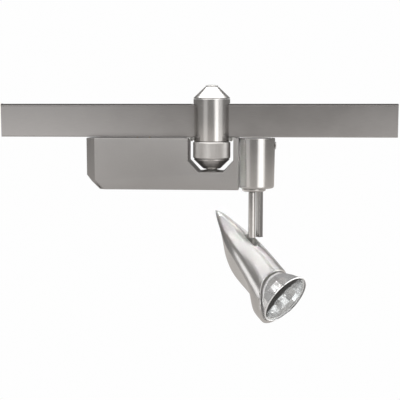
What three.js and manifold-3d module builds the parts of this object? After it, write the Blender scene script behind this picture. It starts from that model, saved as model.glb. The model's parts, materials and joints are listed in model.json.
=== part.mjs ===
// Track spotlight: a rail section, a clamped transformer housing, a swivelling stem and a tilting lamp head.
// Millimetres. +X runs along the rail, -Y is the front, +Z is up.
// The origin is on the rail's top line, in the plane of the clamp's axis.
import * as THREE from 'three';
import { ParametricGeometry } from 'three/addons/geometries/ParametricGeometry.js';
import * as BufferGeometryUtils from 'three/addons/utils/BufferGeometryUtils.js';
import Module from 'manifold-3d';

const wasm = await Module();
wasm.setup();

// ---------- driving dimensions ----------
const GAP = 0.3;                    // clearance left between neighbouring pieces

const RAIL_LEFT = -198.5;
const RAIL_RIGHT = 170.5;
const RAIL_HEIGHT = 30.8;
const RAIL_HALF_T = 4.8;            // half the rail's thickness at its beads
const RAIL_WEB_HALF_T = 4.5;        // half the thickness of its flat faces
const RAIL_BEAD = 2.0;              // height of the bead along the top edge
const CHANNEL_HALF_W = 3.3;         // half width of the channel in the rail's lower edge
const CHANNEL_DEPTH = 9.0;
const CONDUCTOR_Y = 1.5;            // distance of each conductor from the rail's middle plane

const SLEEVE_R = 17.0;
const SLEEVE_TOP = 4.3;
const SLEEVE_BOTTOM = -34.5;
const SLEEVE_SLOT_HALF_W = 5.2;     // the rail and the strap pass through this slot
const LEG_R = 13.4;                 // radius of the threaded legs below the sleeve
const LEG_BOTTOM = -46.5;
const CAP_TOP = 15.5;
const CAP_TOP_R = 6.4;
const BUTTON_R = 6.0;
const BUTTON_HEIGHT = 1.6;

const NUT_R = 17.4;
const NUT_TOP = SLEEVE_BOTTOM - 0.4;
const NUT_BOTTOM = -50.8;
const NUT_BORE_R = LEG_R + 0.4;
const KNURL_TEETH = 60;
const KNURL_DEPTH = 0.4;
const NUT_CONE_TOP_R = 16.6;
const NUT_CONE_END_R = 8.0;
const NUT_CONE_BOTTOM = -60.0;
const NUT_NECK = 1.0;
const NUT_NECK_R = 5.2;             // short neck between the cone and the washer
const WASHER_R = 8.6;

const BOX_TOP = -31.6;
const BOX_BOTTOM = -78.9;
const BOX_LEFT = -116.7;            // outer end face
const BOX_RIGHT = 25.6;             // end face, with a shallow saddle that the canopy sits against
const BOX_HALF_D = 16.5;            // half the housing's depth
const BOX_WALL = 1.6;
const BOX_BEVEL_X = 9.1;            // upright bevels of the left end, along X
const BOX_BEVEL_Y = 8.5;            // and along Y
const CUT_LEFT_Z = -66.0;           // the diagonal corner cut starts here on the end face
const CUT_BOTTOM_X = -103.6;        // and ends here on the underside
const CUT_BEVEL = 3.4;              // bevel along the diagonal cut's front and back edges
const COVER_T = 1.6;
const SADDLE_WALL = 2.7;            // the end wall's thickness away from the saddle
const LEAD_HOLE_R = 2.5;            // the lamp's leads pass from the housing to the canopy here
const LEAD_HOLE_Z = -71.0;
const SADDLE_SCREW_R = 1.2;
const SADDLE_SCREW_Z = [-40, -49];  // heights of the two screws that hold the canopy

const WINDOW_X = -0.2;              // middle of the window round the nut
const WINDOW_HALF_W = 20.8;
const WINDOW_SIDE_Z = -52.4;        // the window's upright sides end here
const WINDOW_FLOOR_Z = -62.7;
const WINDOW_FLOOR_HALF_W = 11.3;

const STRAP_HALF_W = 4.6;
const STRAP_TOP = -RAIL_HEIGHT - GAP;
const STRAP_BOTTOM = STRAP_TOP - 1.6;
const STRAP_END_X = 22.8;           // distance of the strap's ends from the window's middle
const EYE_X = 18.2;                 // rolled eyes hang below the strap, this far from the middle
const EYE_Z = -32.9;
const EYE_R = 1.6;
const EYE_BORE_R = 0.95;

const CANOPY_X = 41.9;
const CANOPY_R = 17.0;
const CANOPY_BOTTOM_R = 16.4;
const CANOPY_BOTTOM = -78.2;
const CANOPY_WALL = 1.8;
const CANOPY_FLOOR = 2.4;
const SIDE_SCREW_Z = -38.6;
const SIDE_SCREW_R = 3.6;

const SWIVEL_X = 39.4;              // the swivel's upright axis, off the canopy's own axis
const DISC_R = 11.4;
const DISC_TOP = CANOPY_BOTTOM - GAP;
const DISC_BOTTOM = -81.3;
const HUB_R = 5.6;
const HUB_TOP = -66.0;
const BUSH_R = 7.6;
const STEM_BOTTOM = -124.3;
const ROD_R = 3.3;
const TUBE_HALF_W = 2.45;           // the wire tube is square, and turned with the head
const TUBE_CORNER = 0.5;
const TUBE_WALL = 0.8;
const ROD_SPACING = 10.7;           // between the rod and the wire tube, along the tilt axis

const PAN_DEG = 39.7;               // how far the head points towards the front
const TILT_DEG = 30.0;              // how far it points below the horizontal
const RIM_CENTRE = new THREE.Vector3(69.67, -33.68, -176.49);
const PIVOT_ALONG = -58.4;          // the tilt axis, in the head's own frame
const PIVOT_UP = 18.8;
const PIVOT_PIN_R = 1.4;
const LUG_HALF_T = 2.4;             // the lug is a flat tongue on the rod's end
const LUG_R = 3.1;
const EAR_INNER = 2.8;              // the pivot bracket's ears stand either side of the lug
const EAR_OUTER = 4.4;

const SHELL_T = 1.5;
const SHELL_AROUND = 36;
const SHELL_ALONG = 20;
const SLOT_REAR = -69.4;            // slot in the shell's ridge for the stem
const SLOT_FRONT = -50.4;
const SLOT_HALF_W = 4.8;

const LAMP_R = 25.2;
const LAMP_RIM_T = 1.4;
const LAMP_WALL = 1.3;
const LAMP_BACK = -33.0;
const BASE_BACK = -41.0;
const LAMP_PIN_SIDE = 2.65;         // half the distance between the lamp's pins
const LAMP_PIN_R = 0.75;
const LAMP_PIN_LENGTH = 6.3;
const HOLDER_FRONT = BASE_BACK - 0.5;
const HOLDER_BACK = -49.6;
const PLATE_BACK = -51.4;

// ---------- materials ----------
function material(color, roughness, metalness) {
  return new THREE.MeshStandardMaterial({ color, roughness, metalness });
}

const FINISH = {
  rail: () => material(0x9a9694, 0.45, 0.8),
  satin: () => material(0xb4b0ac, 0.35, 1.0),
  paint: () => material(0x97928f, 0.5, 0.6),
  steel: () => material(0xa6a29e, 0.4, 1.0),
  brass: () => material(0xc2a05a, 0.35, 1.0),
  copper: () => material(0xb87850, 0.35, 1.0),
  plastic: () => material(0x2b2b2d, 0.6, 0.0),
  board: () => material(0x2c5a3c, 0.6, 0.0),
  ceramic: () => material(0xe6e2d8, 0.55, 0.0),
  glass: () => material(0xe9eef0, 0.08, 0.0),
  mirror: () => material(0xd5d8da, 0.08, 1.0),
};

// ---------- solids ----------
function weld(geometry) {
  const plain = geometry.clone();
  plain.deleteAttribute('normal');
  plain.deleteAttribute('uv');
  return BufferGeometryUtils.mergeVertices(plain, 1e-4);
}

// Triangle list of a welded geometry without the ones that collapsed at a pole.
function wholeTriangles(geometry) {
  const index = geometry.index.array;
  const kept = [];
  for (let i = 0; i < index.length; i += 3) {
    const [a, b, c] = [index[i], index[i + 1], index[i + 2]];
    if (a !== b && b !== c && c !== a) kept.push(a, b, c);
  }
  return new Uint32Array(kept);
}

function toSolid(geometry) {
  const welded = weld(geometry);
  return new wasm.Manifold(new wasm.Mesh({
    numProp: 3,
    vertProperties: new Float32Array(welded.attributes.position.array),
    triVerts: wholeTriangles(welded),
  }));
}

function toGeometry(solid) {
  const mesh = solid.getMesh();
  const geometry = new THREE.BufferGeometry();
  geometry.setAttribute('position', new THREE.BufferAttribute(new Float32Array(mesh.vertProperties), 3));
  geometry.setIndex(new THREE.BufferAttribute(new Uint32Array(mesh.triVerts), 1));
  geometry.computeVertexNormals();
  return geometry;
}

function cut(geometry, ...tools) {
  let solid = toSolid(geometry);
  for (const tool of tools) solid = solid.subtract(toSolid(tool));
  return toGeometry(solid);
}

function join(...pieces) {
  let solid = toSolid(pieces[0]);
  for (const piece of pieces.slice(1)) solid = solid.add(toSolid(piece));
  return toGeometry(solid);
}

function common(...pieces) {
  let solid = toSolid(pieces[0]);
  for (const piece of pieces.slice(1)) solid = solid.intersect(toSolid(piece));
  return toGeometry(solid);
}

// A block from its lowest and highest corners.
function block(low, high) {
  const size = high.map((value, axis) => value - low[axis]);
  const geometry = new THREE.BoxGeometry(...size);
  return geometry.translate(...low.map((value, axis) => value + size[axis] / 2));
}

// An upright cylinder or cone between two heights.
function upright(x, y, bottom, top, bottomR, topR = bottomR, sides = 40) {
  const geometry = new THREE.CylinderGeometry(topR, bottomR, top - bottom, sides);
  return geometry.rotateX(Math.PI / 2).translate(x, y, (top + bottom) / 2);
}

// A solid of revolution about +Z; points are [radius, height] from the axis back to the axis.
function turned(points, sides = 40) {
  const profile = points.map(([radius, height]) => new THREE.Vector2(radius, height));
  return new THREE.LatheGeometry(profile, sides).rotateX(Math.PI / 2);
}

function polygon(points) {
  return new THREE.Shape(points.map(([x, y]) => new THREE.Vector2(x, y)));
}

// An outline in the XZ plane, extruded along Y between two depths.
function extrudeXZ(points, yFront, yBack) {
  const geometry = new THREE.ExtrudeGeometry(polygon(points), { depth: yBack - yFront, bevelEnabled: false });
  return geometry.rotateX(Math.PI / 2).translate(0, yBack, 0);
}

// An outline in the XY plane, extruded up between two heights.
function extrudeXY(points, bottom, top) {
  const geometry = new THREE.ExtrudeGeometry(polygon(points), { depth: top - bottom, bevelEnabled: false });
  return geometry.translate(0, 0, bottom);
}

// An outline given as [y, z] pairs, extruded along X between two stations.
function extrudeYZ(points, left, right) {
  const geometry = new THREE.ExtrudeGeometry(polygon(points), { depth: right - left, bevelEnabled: false });
  return geometry.rotateX(Math.PI / 2).rotateZ(Math.PI / 2).translate(left, 0, 0);
}

const fixture = new THREE.Group();

function addTo(parent, name, geometry, finish) {
  const mesh = new THREE.Mesh(geometry, FINISH[finish]());
  mesh.name = name;
  parent.add(mesh);
  return mesh;
}

// ---------- rail ----------
function railOutline() {
  const top = [];
  const steps = 8;
  for (let i = 0; i <= steps; i += 1) {
    const angle = (Math.PI * i) / steps;
    top.push([RAIL_HALF_T * Math.cos(angle), -RAIL_BEAD * 0.5 + RAIL_BEAD * 0.5 * Math.sin(angle)]);
  }
  const foot = RAIL_BEAD * 0.6;
  return [
    ...top,
    [-RAIL_HALF_T, -RAIL_BEAD],
    [-RAIL_WEB_HALF_T, -RAIL_BEAD - 0.4],
    [-RAIL_WEB_HALF_T, -RAIL_HEIGHT + foot],
    [-RAIL_WEB_HALF_T + 0.4, -RAIL_HEIGHT],
    [-CHANNEL_HALF_W, -RAIL_HEIGHT],
    [-CHANNEL_HALF_W, -RAIL_HEIGHT + CHANNEL_DEPTH],
    [CHANNEL_HALF_W, -RAIL_HEIGHT + CHANNEL_DEPTH],
    [CHANNEL_HALF_W, -RAIL_HEIGHT],
    [RAIL_WEB_HALF_T - 0.4, -RAIL_HEIGHT],
    [RAIL_WEB_HALF_T, -RAIL_HEIGHT + foot],
    [RAIL_WEB_HALF_T, -RAIL_BEAD - 0.4],
    [RAIL_HALF_T, -RAIL_BEAD],
  ];
}

const GROOVE_HALF_W = 1.0;
const CONDUCTOR_TOP = -RAIL_HEIGHT + CHANNEL_DEPTH - 1.7;
const CONDUCTOR_T = 1.0;

function insulatorOutline() {
  const half = CHANNEL_HALF_W - GAP;
  const bottom = -RAIL_HEIGHT + 0.8;
  const top = -RAIL_HEIGHT + CHANNEL_DEPTH - GAP;
  const roof = CONDUCTOR_TOP + GAP;
  const inner = CONDUCTOR_Y - GROOVE_HALF_W;
  const outer = CONDUCTOR_Y + GROOVE_HALF_W;
  return [
    [half, top], [-half, top], [-half, bottom], [-outer, bottom], [-outer, roof], [-inner, roof], [-inner, bottom],
    [inner, bottom], [inner, roof], [outer, roof], [outer, bottom], [half, bottom],
  ];
}

function buildRail() {
  addTo(fixture, 'rail_profile', extrudeYZ(railOutline(), RAIL_LEFT, RAIL_RIGHT), 'rail');
  const insulator = extrudeYZ(insulatorOutline(), RAIL_LEFT + 0.5, RAIL_RIGHT - 0.5);
  addTo(fixture, 'rail_insulator', insulator, 'plastic');
  for (const [name, side] of [['conductor_live', -1], ['conductor_neutral', 1]]) {
    const y = side * CONDUCTOR_Y;
    const half = GROOVE_HALF_W - GAP;
    const low = [RAIL_LEFT + 1.5, y - half, CONDUCTOR_TOP - CONDUCTOR_T];
    const high = [RAIL_RIGHT - 1.5, y + half, CONDUCTOR_TOP];
    addTo(fixture, name, block(low, high), 'copper');
  }
}

// ---------- clamp ----------
function knurledOutline(radius, depth, teeth) {
  const points = [];
  for (let i = 0; i < teeth * 2; i += 1) {
    const angle = (Math.PI * i) / teeth;
    const r = i % 2 ? radius - depth : radius;
    points.push([r * Math.cos(angle), r * Math.sin(angle)]);
  }
  return points;
}

function buildClamp() {
  const body = join(
    upright(0, 0, SLEEVE_BOTTOM, SLEEVE_TOP, SLEEVE_R),
    upright(0, 0, LEG_BOTTOM, SLEEVE_BOTTOM + 1, LEG_R),
  );
  const wide = SLEEVE_R + 5;
  const slot = block([-wide, -SLEEVE_SLOT_HALF_W, LEG_BOTTOM - 5], [wide, SLEEVE_SLOT_HALF_W, GAP]);
  // One bridge across the slot's foot keeps the two legs a single piece.
  const bridge = block([-5, -SLEEVE_SLOT_HALF_W - 1, LEG_BOTTOM], [5, SLEEVE_SLOT_HALF_W + 1, LEG_BOTTOM + 4]);
  addTo(fixture, 'clamp_sleeve', join(cut(body, slot), bridge), 'satin');

  const cap = turned([
    [0, SLEEVE_TOP + GAP], [SLEEVE_R - 0.4, SLEEVE_TOP + GAP], [SLEEVE_R, SLEEVE_TOP + GAP + 0.4],
    [SLEEVE_R - 0.2, SLEEVE_TOP + 1.2], [CAP_TOP_R, CAP_TOP], [0, CAP_TOP],
  ]);
  addTo(fixture, 'clamp_cap', cap, 'satin');

  const buttonLow = CAP_TOP + GAP;
  const button = turned([
    [0, buttonLow], [BUTTON_R, buttonLow], [BUTTON_R * 0.93, buttonLow + BUTTON_HEIGHT * 0.5],
    [BUTTON_R * 0.6, buttonLow + BUTTON_HEIGHT * 0.87], [0, buttonLow + BUTTON_HEIGHT],
  ], 32);
  addTo(fixture, 'cap_button', button, 'steel');

  const nutBody = extrudeXY(knurledOutline(NUT_R, KNURL_DEPTH, KNURL_TEETH), NUT_BOTTOM, NUT_TOP);
  const nutBore = upright(0, 0, NUT_BOTTOM - 1, NUT_TOP + 1, NUT_BORE_R);
  addTo(fixture, 'knurled_nut', cut(nutBody, nutBore), 'satin');

  const coneTop = NUT_BOTTOM - GAP;
  const cone = turned([
    [0, NUT_CONE_BOTTOM - NUT_NECK], [NUT_NECK_R, NUT_CONE_BOTTOM - NUT_NECK], [NUT_NECK_R, NUT_CONE_BOTTOM],
    [NUT_CONE_END_R, NUT_CONE_BOTTOM], [NUT_CONE_TOP_R, coneTop - 0.6],
    [NUT_CONE_TOP_R, coneTop], [NUT_BORE_R - GAP, coneTop], [NUT_BORE_R - GAP, coneTop + 2], [0, coneTop + 2],
  ]);
  addTo(fixture, 'nut_cone', cone, 'satin');

  const washerTop = NUT_CONE_BOTTOM - NUT_NECK - GAP;
  const washerLow = WINDOW_FLOOR_Z + GAP;
  const washer = turned([
    [0, washerLow], [WASHER_R, washerLow], [WASHER_R, washerLow + 0.5], [WASHER_R * 0.8, washerTop], [0, washerTop],
  ], 32);
  addTo(fixture, 'thrust_washer', washer, 'steel');
}

// ---------- transformer housing ----------
const COVER_SCREWS = [[-100, -40], [-32, -72], [-32, -38]];
const CONTACTS = [{ name: 'live', x: -58, y: -CONDUCTOR_Y }, { name: 'neutral', x: -70, y: CONDUCTOR_Y }];

function boxOutline(inset) {
  const left = BOX_LEFT + inset;
  const bottom = BOX_BOTTOM + inset;
  const run = CUT_BOTTOM_X - BOX_LEFT;
  const drop = CUT_LEFT_Z - BOX_BOTTOM;
  const along = Math.hypot(run, drop);
  // The diagonal moves inwards by the inset, so its ends shift along the end face and the underside.
  const shiftZ = inset * (along / run - drop / run);
  const shiftX = inset * (along / drop - run / drop);
  return [
    [left, BOX_TOP - inset], [left, CUT_LEFT_Z + shiftZ], [CUT_BOTTOM_X + shiftX, bottom],
    [BOX_RIGHT, bottom], [BOX_RIGHT, BOX_TOP - inset],
  ];
}

function planBevel(inset) {
  const half = BOX_HALF_D - inset;
  const left = BOX_LEFT + inset;
  return [
    [left, -half + BOX_BEVEL_Y], [left + BOX_BEVEL_X, -half], [BOX_RIGHT, -half],
    [BOX_RIGHT, half], [left + BOX_BEVEL_X, half], [left, half - BOX_BEVEL_Y],
  ];
}

// The cavity's plan: as the outside, but open through the back where the cover goes.
function cavityPlan() {
  const half = BOX_HALF_D - BOX_WALL;
  const left = BOX_LEFT + BOX_WALL * 1.25;
  const back = BOX_HALF_D + 5;
  const right = BOX_RIGHT - SADDLE_WALL;
  return [
    [left, -half + BOX_BEVEL_Y], [left + BOX_BEVEL_X, -half], [right, -half],
    [right, back], [left + BOX_BEVEL_X, back], [left + BOX_BEVEL_X, half], [left, half - BOX_BEVEL_Y],
  ];
}

// A long bar along the diagonal cut whose edges carry the cut's bevels.
function diagonalBar() {
  const half = BOX_HALF_D + 0.01;
  const reach = 400;
  const profile = [
    [0, -half + CUT_BEVEL], [CUT_BEVEL, -half], [reach, -half],
    [reach, half], [CUT_BEVEL, half], [0, half - CUT_BEVEL],
  ];
  const geometry = extrudeXY(profile, -reach, reach);
  const lean = Math.atan2(CUT_BOTTOM_X - BOX_LEFT, CUT_LEFT_Z - BOX_BOTTOM);
  return geometry.rotateY(-lean).translate(BOX_LEFT, 0, CUT_LEFT_Z);
}

function windowOutline(grow) {
  const half = WINDOW_HALF_W + grow;
  const floorHalf = WINDOW_FLOOR_HALF_W + grow * 0.45;
  const floor = WINDOW_FLOOR_Z - grow;
  const top = BOX_TOP + 5;
  return [
    [WINDOW_X - half, top], [WINDOW_X - half, WINDOW_SIDE_Z], [WINDOW_X - floorHalf, floor],
    [WINDOW_X + floorHalf, floor], [WINDOW_X + half, WINDOW_SIDE_Z], [WINDOW_X + half, top],
  ];
}

// Cylinders along X through the saddle, for the leads and for the canopy's screws.
function leadHole() {
  const hole = new THREE.CylinderGeometry(LEAD_HOLE_R, LEAD_HOLE_R, 14, 24).rotateZ(Math.PI / 2);
  return hole.translate(BOX_RIGHT, 0, LEAD_HOLE_Z);
}

function saddleScrewHoles() {
  const radius = SADDLE_SCREW_R + GAP;
  return SADDLE_SCREW_Z.map((z) => (
    new THREE.CylinderGeometry(radius, radius, 9, 20).rotateZ(Math.PI / 2).translate(BOX_RIGHT + 0.2, 0, z)
  ));
}

function buildHousing() {
  const outer = common(
    extrudeXZ(boxOutline(0), -BOX_HALF_D, BOX_HALF_D),
    extrudeXY(planBevel(0), BOX_BOTTOM - 5, BOX_TOP + 5),
    diagonalBar(),
  );
  const inner = common(
    extrudeXZ(boxOutline(BOX_WALL), -BOX_HALF_D + BOX_WALL, BOX_HALF_D + 5),
    extrudeXY(cavityPlan(), BOX_BOTTOM - 5, BOX_TOP + 5),
  );
  const tunnel = extrudeXZ(windowOutline(BOX_WALL), -BOX_HALF_D - 1, BOX_HALF_D + 9);
  const opening = extrudeXZ(windowOutline(0), -BOX_HALF_D - 2, BOX_HALF_D + 10);
  // Beside the window's upright side the arm is solid.
  const arm = block([WINDOW_X, -BOX_HALF_D - 1, WINDOW_SIDE_Z - 1], [BOX_RIGHT + 5, BOX_HALF_D + 9, BOX_TOP + 5]);
  const cavity = cut(inner, tunnel, arm);
  const canopyRoom = upright(CANOPY_X, 0, BOX_BOTTOM - 5, BOX_TOP + 5, CANOPY_R + GAP);
  const coverDepth = BOX_HALF_D - COVER_T;
  const coverSlab = block([BOX_LEFT - 5, coverDepth, BOX_BOTTOM - 5], [CANOPY_X + 30, BOX_HALF_D + 5, BOX_TOP + 5]);
  const strapRoom = block(
    [WINDOW_X - STRAP_END_X - GAP, -STRAP_HALF_W - GAP, STRAP_BOTTOM - GAP],
    [WINDOW_X + STRAP_END_X + GAP, STRAP_HALF_W + GAP, BOX_TOP + 1],
  );
  const pinHoles = CONTACTS.map(({ x, y }) => upright(x, y, BOX_TOP - 4, BOX_TOP + 2, 1.1, 1.1, 20));
  const shell = cut(
    outer, cavity, opening, canopyRoom, coverSlab, strapRoom, leadHole(), ...pinHoles, ...saddleScrewHoles(),
  );
  addTo(fixture, 'housing_shell', shell, 'paint');

  const screwHoles = COVER_SCREWS.map(([x, z]) => (
    new THREE.CylinderGeometry(1.5, 1.5, 20, 20).translate(x, BOX_HALF_D, z)
  ));
  const coverBody = common(outer, block(
    [BOX_LEFT - 5, coverDepth + GAP, BOX_BOTTOM - 5],
    [BOX_RIGHT + 5, BOX_HALF_D, BOX_TOP + 5],
  ));
  addTo(fixture, 'housing_cover', cut(coverBody, opening, canopyRoom, ...screwHoles), 'paint');

  COVER_SCREWS.forEach(([x, z], i) => {
    const screw = turned([[0, 0], [2.6, 0], [2.2, 1.0], [0, 1.3]], 24);
    const shank = upright(0, 0, -5, 0.2, 1.2, 1.2, 16);
    const placed = join(screw, shank).rotateX(-Math.PI / 2).translate(x, BOX_HALF_D + GAP, z);
    addTo(fixture, `cover_screw_${i + 1}`, placed, 'steel');
  });
}

function buildStrap() {
  const strap = block(
    [WINDOW_X - STRAP_END_X, -STRAP_HALF_W, STRAP_BOTTOM],
    [WINDOW_X + STRAP_END_X, STRAP_HALF_W, STRAP_TOP],
  );
  const along = (radius, length, side) => (
    new THREE.CylinderGeometry(radius, radius, length, 24).translate(WINDOW_X + side * EYE_X, 0, EYE_Z)
  );
  const eyes = [-1, 1].map((side) => along(EYE_R, 2 * STRAP_HALF_W, side));
  const bores = [-1, 1].map((side) => along(EYE_BORE_R, 2 * STRAP_HALF_W + 2, side));
  addTo(fixture, 'mounting_strap', cut(join(strap, ...eyes), ...bores), 'steel');
}

const CARRIER_FROM_X = -78;         // the contact carrier stands under both pins
const CARRIER_TO_X = -50;
const CARRIER_HALF_D = 6;
const CARRIER_HEIGHT = 12;
const CARRIER_BORE_R = 1.7;
const CARRIER_BORE_DEPTH = 10;
const PIN_R = 0.6;
const PIN_COLLAR_R = 1.35;
const PIN_COLLAR_LOW = 4;           // below the carrier's top
const PIN_COLLAR_HIGH = 2.5;
const SPRING_LOW = 9.6;
const SPRING_HIGH = 4.4;
const SPRING_TURNS = 4;
const SPRING_STEPS = 10;            // sections for each turn
const SPRING_WIRE_R = 0.2;
const SPRING_R = 1.1;

function buildContacts() {
  const conductorLow = CONDUCTOR_TOP - CONDUCTOR_T;
  const top = BOX_TOP - BOX_WALL - GAP;
  const carrier = block(
    [CARRIER_FROM_X, -CARRIER_HALF_D, top - CARRIER_HEIGHT],
    [CARRIER_TO_X, CARRIER_HALF_D, top],
  );
  const bores = CONTACTS.map(({ x, y }) => upright(x, y, top - CARRIER_BORE_DEPTH, top + 1, CARRIER_BORE_R));
  addTo(fixture, 'contact_carrier', cut(carrier, ...bores), 'plastic');
  for (const { name, x, y } of CONTACTS) {
    const pin = join(
      upright(x, y, top - PIN_COLLAR_LOW, conductorLow - GAP, PIN_R, PIN_R, 16),
      upright(x, y, top - PIN_COLLAR_LOW, top - PIN_COLLAR_HIGH, PIN_COLLAR_R, PIN_COLLAR_R, 16),
    );
    addTo(fixture, `contact_pin_${name}`, pin, 'brass');
    addTo(fixture, `contact_spring_${name}`, springGeometry(x, y, top - SPRING_LOW, top - SPRING_HIGH), 'steel');
  }
}

// A compression spring: round wire swept along a helix.
function springGeometry(x, y, bottom, top) {
  const steps = SPRING_TURNS * SPRING_STEPS;
  const wire = SPRING_WIRE_R;
  const points = [];
  for (let i = 0; i <= steps; i += 1) {
    const angle = (2 * Math.PI * i) / SPRING_STEPS;
    const z = bottom + wire + ((top - bottom - 2 * wire) * i) / steps;
    points.push(new THREE.Vector3(x + SPRING_R * Math.cos(angle), y + SPRING_R * Math.sin(angle), z));
  }
  const section = polygon([[wire, 0], [0, wire], [-wire, 0], [0, -wire]]);
  return new THREE.ExtrudeGeometry(section, {
    steps,
    bevelEnabled: false,
    extrudePath: new THREE.CatmullRomCurve3(points),
  });
}

const BOARD_GAP = 1.2;              // between the board and the cover
const BOARD_T = 1.6;
const BOARD_X = [-68, -35.5];
const BOARD_Z = [-72, -48];
const CORE_X = [-92, -70];          // transformer core, a block with two windows
const CORE_Z = [-68, -50];
const CORE_FRONT = -9;
const CORE_BACK_GAP = 1.0;          // from the board's front face back to the core
const CORE_WINDOW_Z = [-64, -54];
const LEG_X = [-83, -79];           // the core's middle leg
const CORE_WINDOW_W = 5;
const WINDING_MARGIN = 0.4;         // from the winding out to the core's outer legs
const WINDING_PROUD = 2.0;          // the winding stands this far out of the core's front
const CAPACITOR_R = 5;
const CAPACITOR_LENGTH = 12;
const CAPACITOR_AT = [-58, 4, -60];
const TERMINAL_X = [-46, -36];
const TERMINAL_Z = [-66, -52];
const TERMINAL_FRONT = -2;

function buildElectronics() {
  const back = BOX_HALF_D - COVER_T - BOARD_GAP;
  const front = back - BOARD_T;
  const board = block([BOARD_X[0], front, BOARD_Z[0]], [BOARD_X[1], back, BOARD_Z[1]]);
  addTo(fixture, 'circuit_board', board, 'board');

  const through = BOX_HALF_D + 4;
  const coreBack = front - CORE_BACK_GAP;
  const [legLeft, legRight] = LEG_X;
  const [windowLow, windowHigh] = CORE_WINDOW_Z;
  const core = cut(
    block([CORE_X[0], CORE_FRONT, CORE_Z[0]], [CORE_X[1], coreBack, CORE_Z[1]]),
    block([legLeft - CORE_WINDOW_W, -through, windowLow], [legLeft, through, windowHigh]),
    block([legRight, -through, windowLow], [legRight + CORE_WINDOW_W, through, windowHigh]),
  );
  addTo(fixture, 'transformer_core', core, 'steel');

  // The winding is wound round the core's middle leg, with room left all round.
  const reach = CORE_WINDOW_W - WINDING_MARGIN;
  const winding = cut(
    block(
      [legLeft - reach, CORE_FRONT - WINDING_PROUD, windowLow + GAP],
      [legRight + reach, coreBack + CORE_BACK_GAP - GAP, windowHigh - GAP],
    ),
    block(
      [legLeft - GAP, CORE_FRONT - GAP, CORE_Z[0] - 1],
      [legRight + GAP, coreBack + GAP, CORE_Z[1] + 1],
    ),
  );
  addTo(fixture, 'transformer_winding', winding, 'copper');

  const capacitor = new THREE.CylinderGeometry(CAPACITOR_R, CAPACITOR_R, CAPACITOR_LENGTH, 28);
  addTo(fixture, 'capacitor', capacitor.translate(...CAPACITOR_AT), 'plastic');
  const terminal = block([TERMINAL_X[0], TERMINAL_FRONT, TERMINAL_Z[0]], [TERMINAL_X[1], front - GAP, TERMINAL_Z[1]]);
  addTo(fixture, 'terminal_block', terminal, 'plastic');
}

// ---------- canopy ----------
const CANOPY_ROUND = 1.6;           // rounding of the cup's lower edge
const BUSH_FLANGE = 1.2;
const BUSH_TOP = 4.6;               // above the cup's underside
const LID_T = 2.0;
const LID_INSET = 0.4;
const SCREW_SHANK_R = 1.5;
const SCREW_SHANK = 6;
const SCREW_HOLE_R = 1.9;
const SADDLE_HEAD_R = 2.3;
const SADDLE_HEAD = 1.8;
const SADDLE_SHANK = 5.2;
const SADDLE_HEAD_OFF = 0.8;        // from the cup's inner wall to the screw's head

function buildCanopy() {
  const cup = turned([
    [0, CANOPY_BOTTOM], [CANOPY_BOTTOM_R - CANOPY_ROUND, CANOPY_BOTTOM],
    [CANOPY_BOTTOM_R - CANOPY_ROUND / 4, CANOPY_BOTTOM + CANOPY_ROUND / 3],
    [CANOPY_BOTTOM_R, CANOPY_BOTTOM + CANOPY_ROUND], [CANOPY_R, BOX_TOP], [CANOPY_R - CANOPY_WALL, BOX_TOP],
    [CANOPY_BOTTOM_R - CANOPY_WALL, CANOPY_BOTTOM + CANOPY_FLOOR], [0, CANOPY_BOTTOM + CANOPY_FLOOR],
  ]).translate(CANOPY_X, 0, 0);
  const hole = upright(SWIVEL_X, 0, CANOPY_BOTTOM - 1, CANOPY_BOTTOM + 5, BUSH_R + 0.02);
  const screwHole = new THREE.CylinderGeometry(SCREW_HOLE_R, SCREW_HOLE_R, 20, 24).rotateZ(Math.PI / 2);
  screwHole.translate(CANOPY_X + CANOPY_R, 0, SIDE_SCREW_Z);
  addTo(fixture, 'canopy_cup', cut(cup, hole, screwHole, leadHole(), ...saddleScrewHoles()), 'satin');

  // The screws' heads are inside the cup, and their shanks reach into the housing's arm.
  SADDLE_SCREW_Z.forEach((z, i) => {
    const headLeft = CANOPY_X - CANOPY_R + CANOPY_WALL + SADDLE_HEAD_OFF;
    const screwBody = join(
      upright(0, 0, 0, SADDLE_HEAD, SADDLE_HEAD_R, SADDLE_HEAD_R, 24),
      upright(0, 0, -SADDLE_SHANK, 0.2, SADDLE_SCREW_R, SADDLE_SCREW_R, 16),
    );
    addTo(fixture, `saddle_screw_${i + 1}`, screwBody.rotateY(Math.PI / 2).translate(headLeft, 0, z), 'steel');
  });

  const lidTop = BOX_TOP - LID_INSET;
  const lid = upright(CANOPY_X, 0, lidTop - LID_T, lidTop, CANOPY_R - CANOPY_WALL - GAP);
  addTo(fixture, 'canopy_lid', lid, 'steel');

  const bush = cut(
    join(
      upright(SWIVEL_X, 0, CANOPY_BOTTOM, CANOPY_BOTTOM + CANOPY_FLOOR + 0.6, BUSH_R - GAP),
      upright(SWIVEL_X, 0, CANOPY_BOTTOM + CANOPY_FLOOR + GAP, CANOPY_BOTTOM + BUSH_TOP, BUSH_R + BUSH_FLANGE),
    ),
    upright(SWIVEL_X, 0, CANOPY_BOTTOM - 1, CANOPY_BOTTOM + 9, HUB_R + GAP),
  );
  addTo(fixture, 'swivel_bush', bush, 'plastic');

  const screw = join(
    turned([[0, 0], [SIDE_SCREW_R, 0], [SIDE_SCREW_R * 0.85, 0.45], [SIDE_SCREW_R * 0.5, 0.7], [0, 0.8]], 28),
    upright(0, 0, -SCREW_SHANK, 0.2, SCREW_SHANK_R, SCREW_SHANK_R, 16),
  );
  screw.rotateY(Math.PI / 2).translate(CANOPY_X + CANOPY_R + 0.2, 0, SIDE_SCREW_Z);
  addTo(fixture, 'canopy_screw', screw, 'steel');
}

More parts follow.
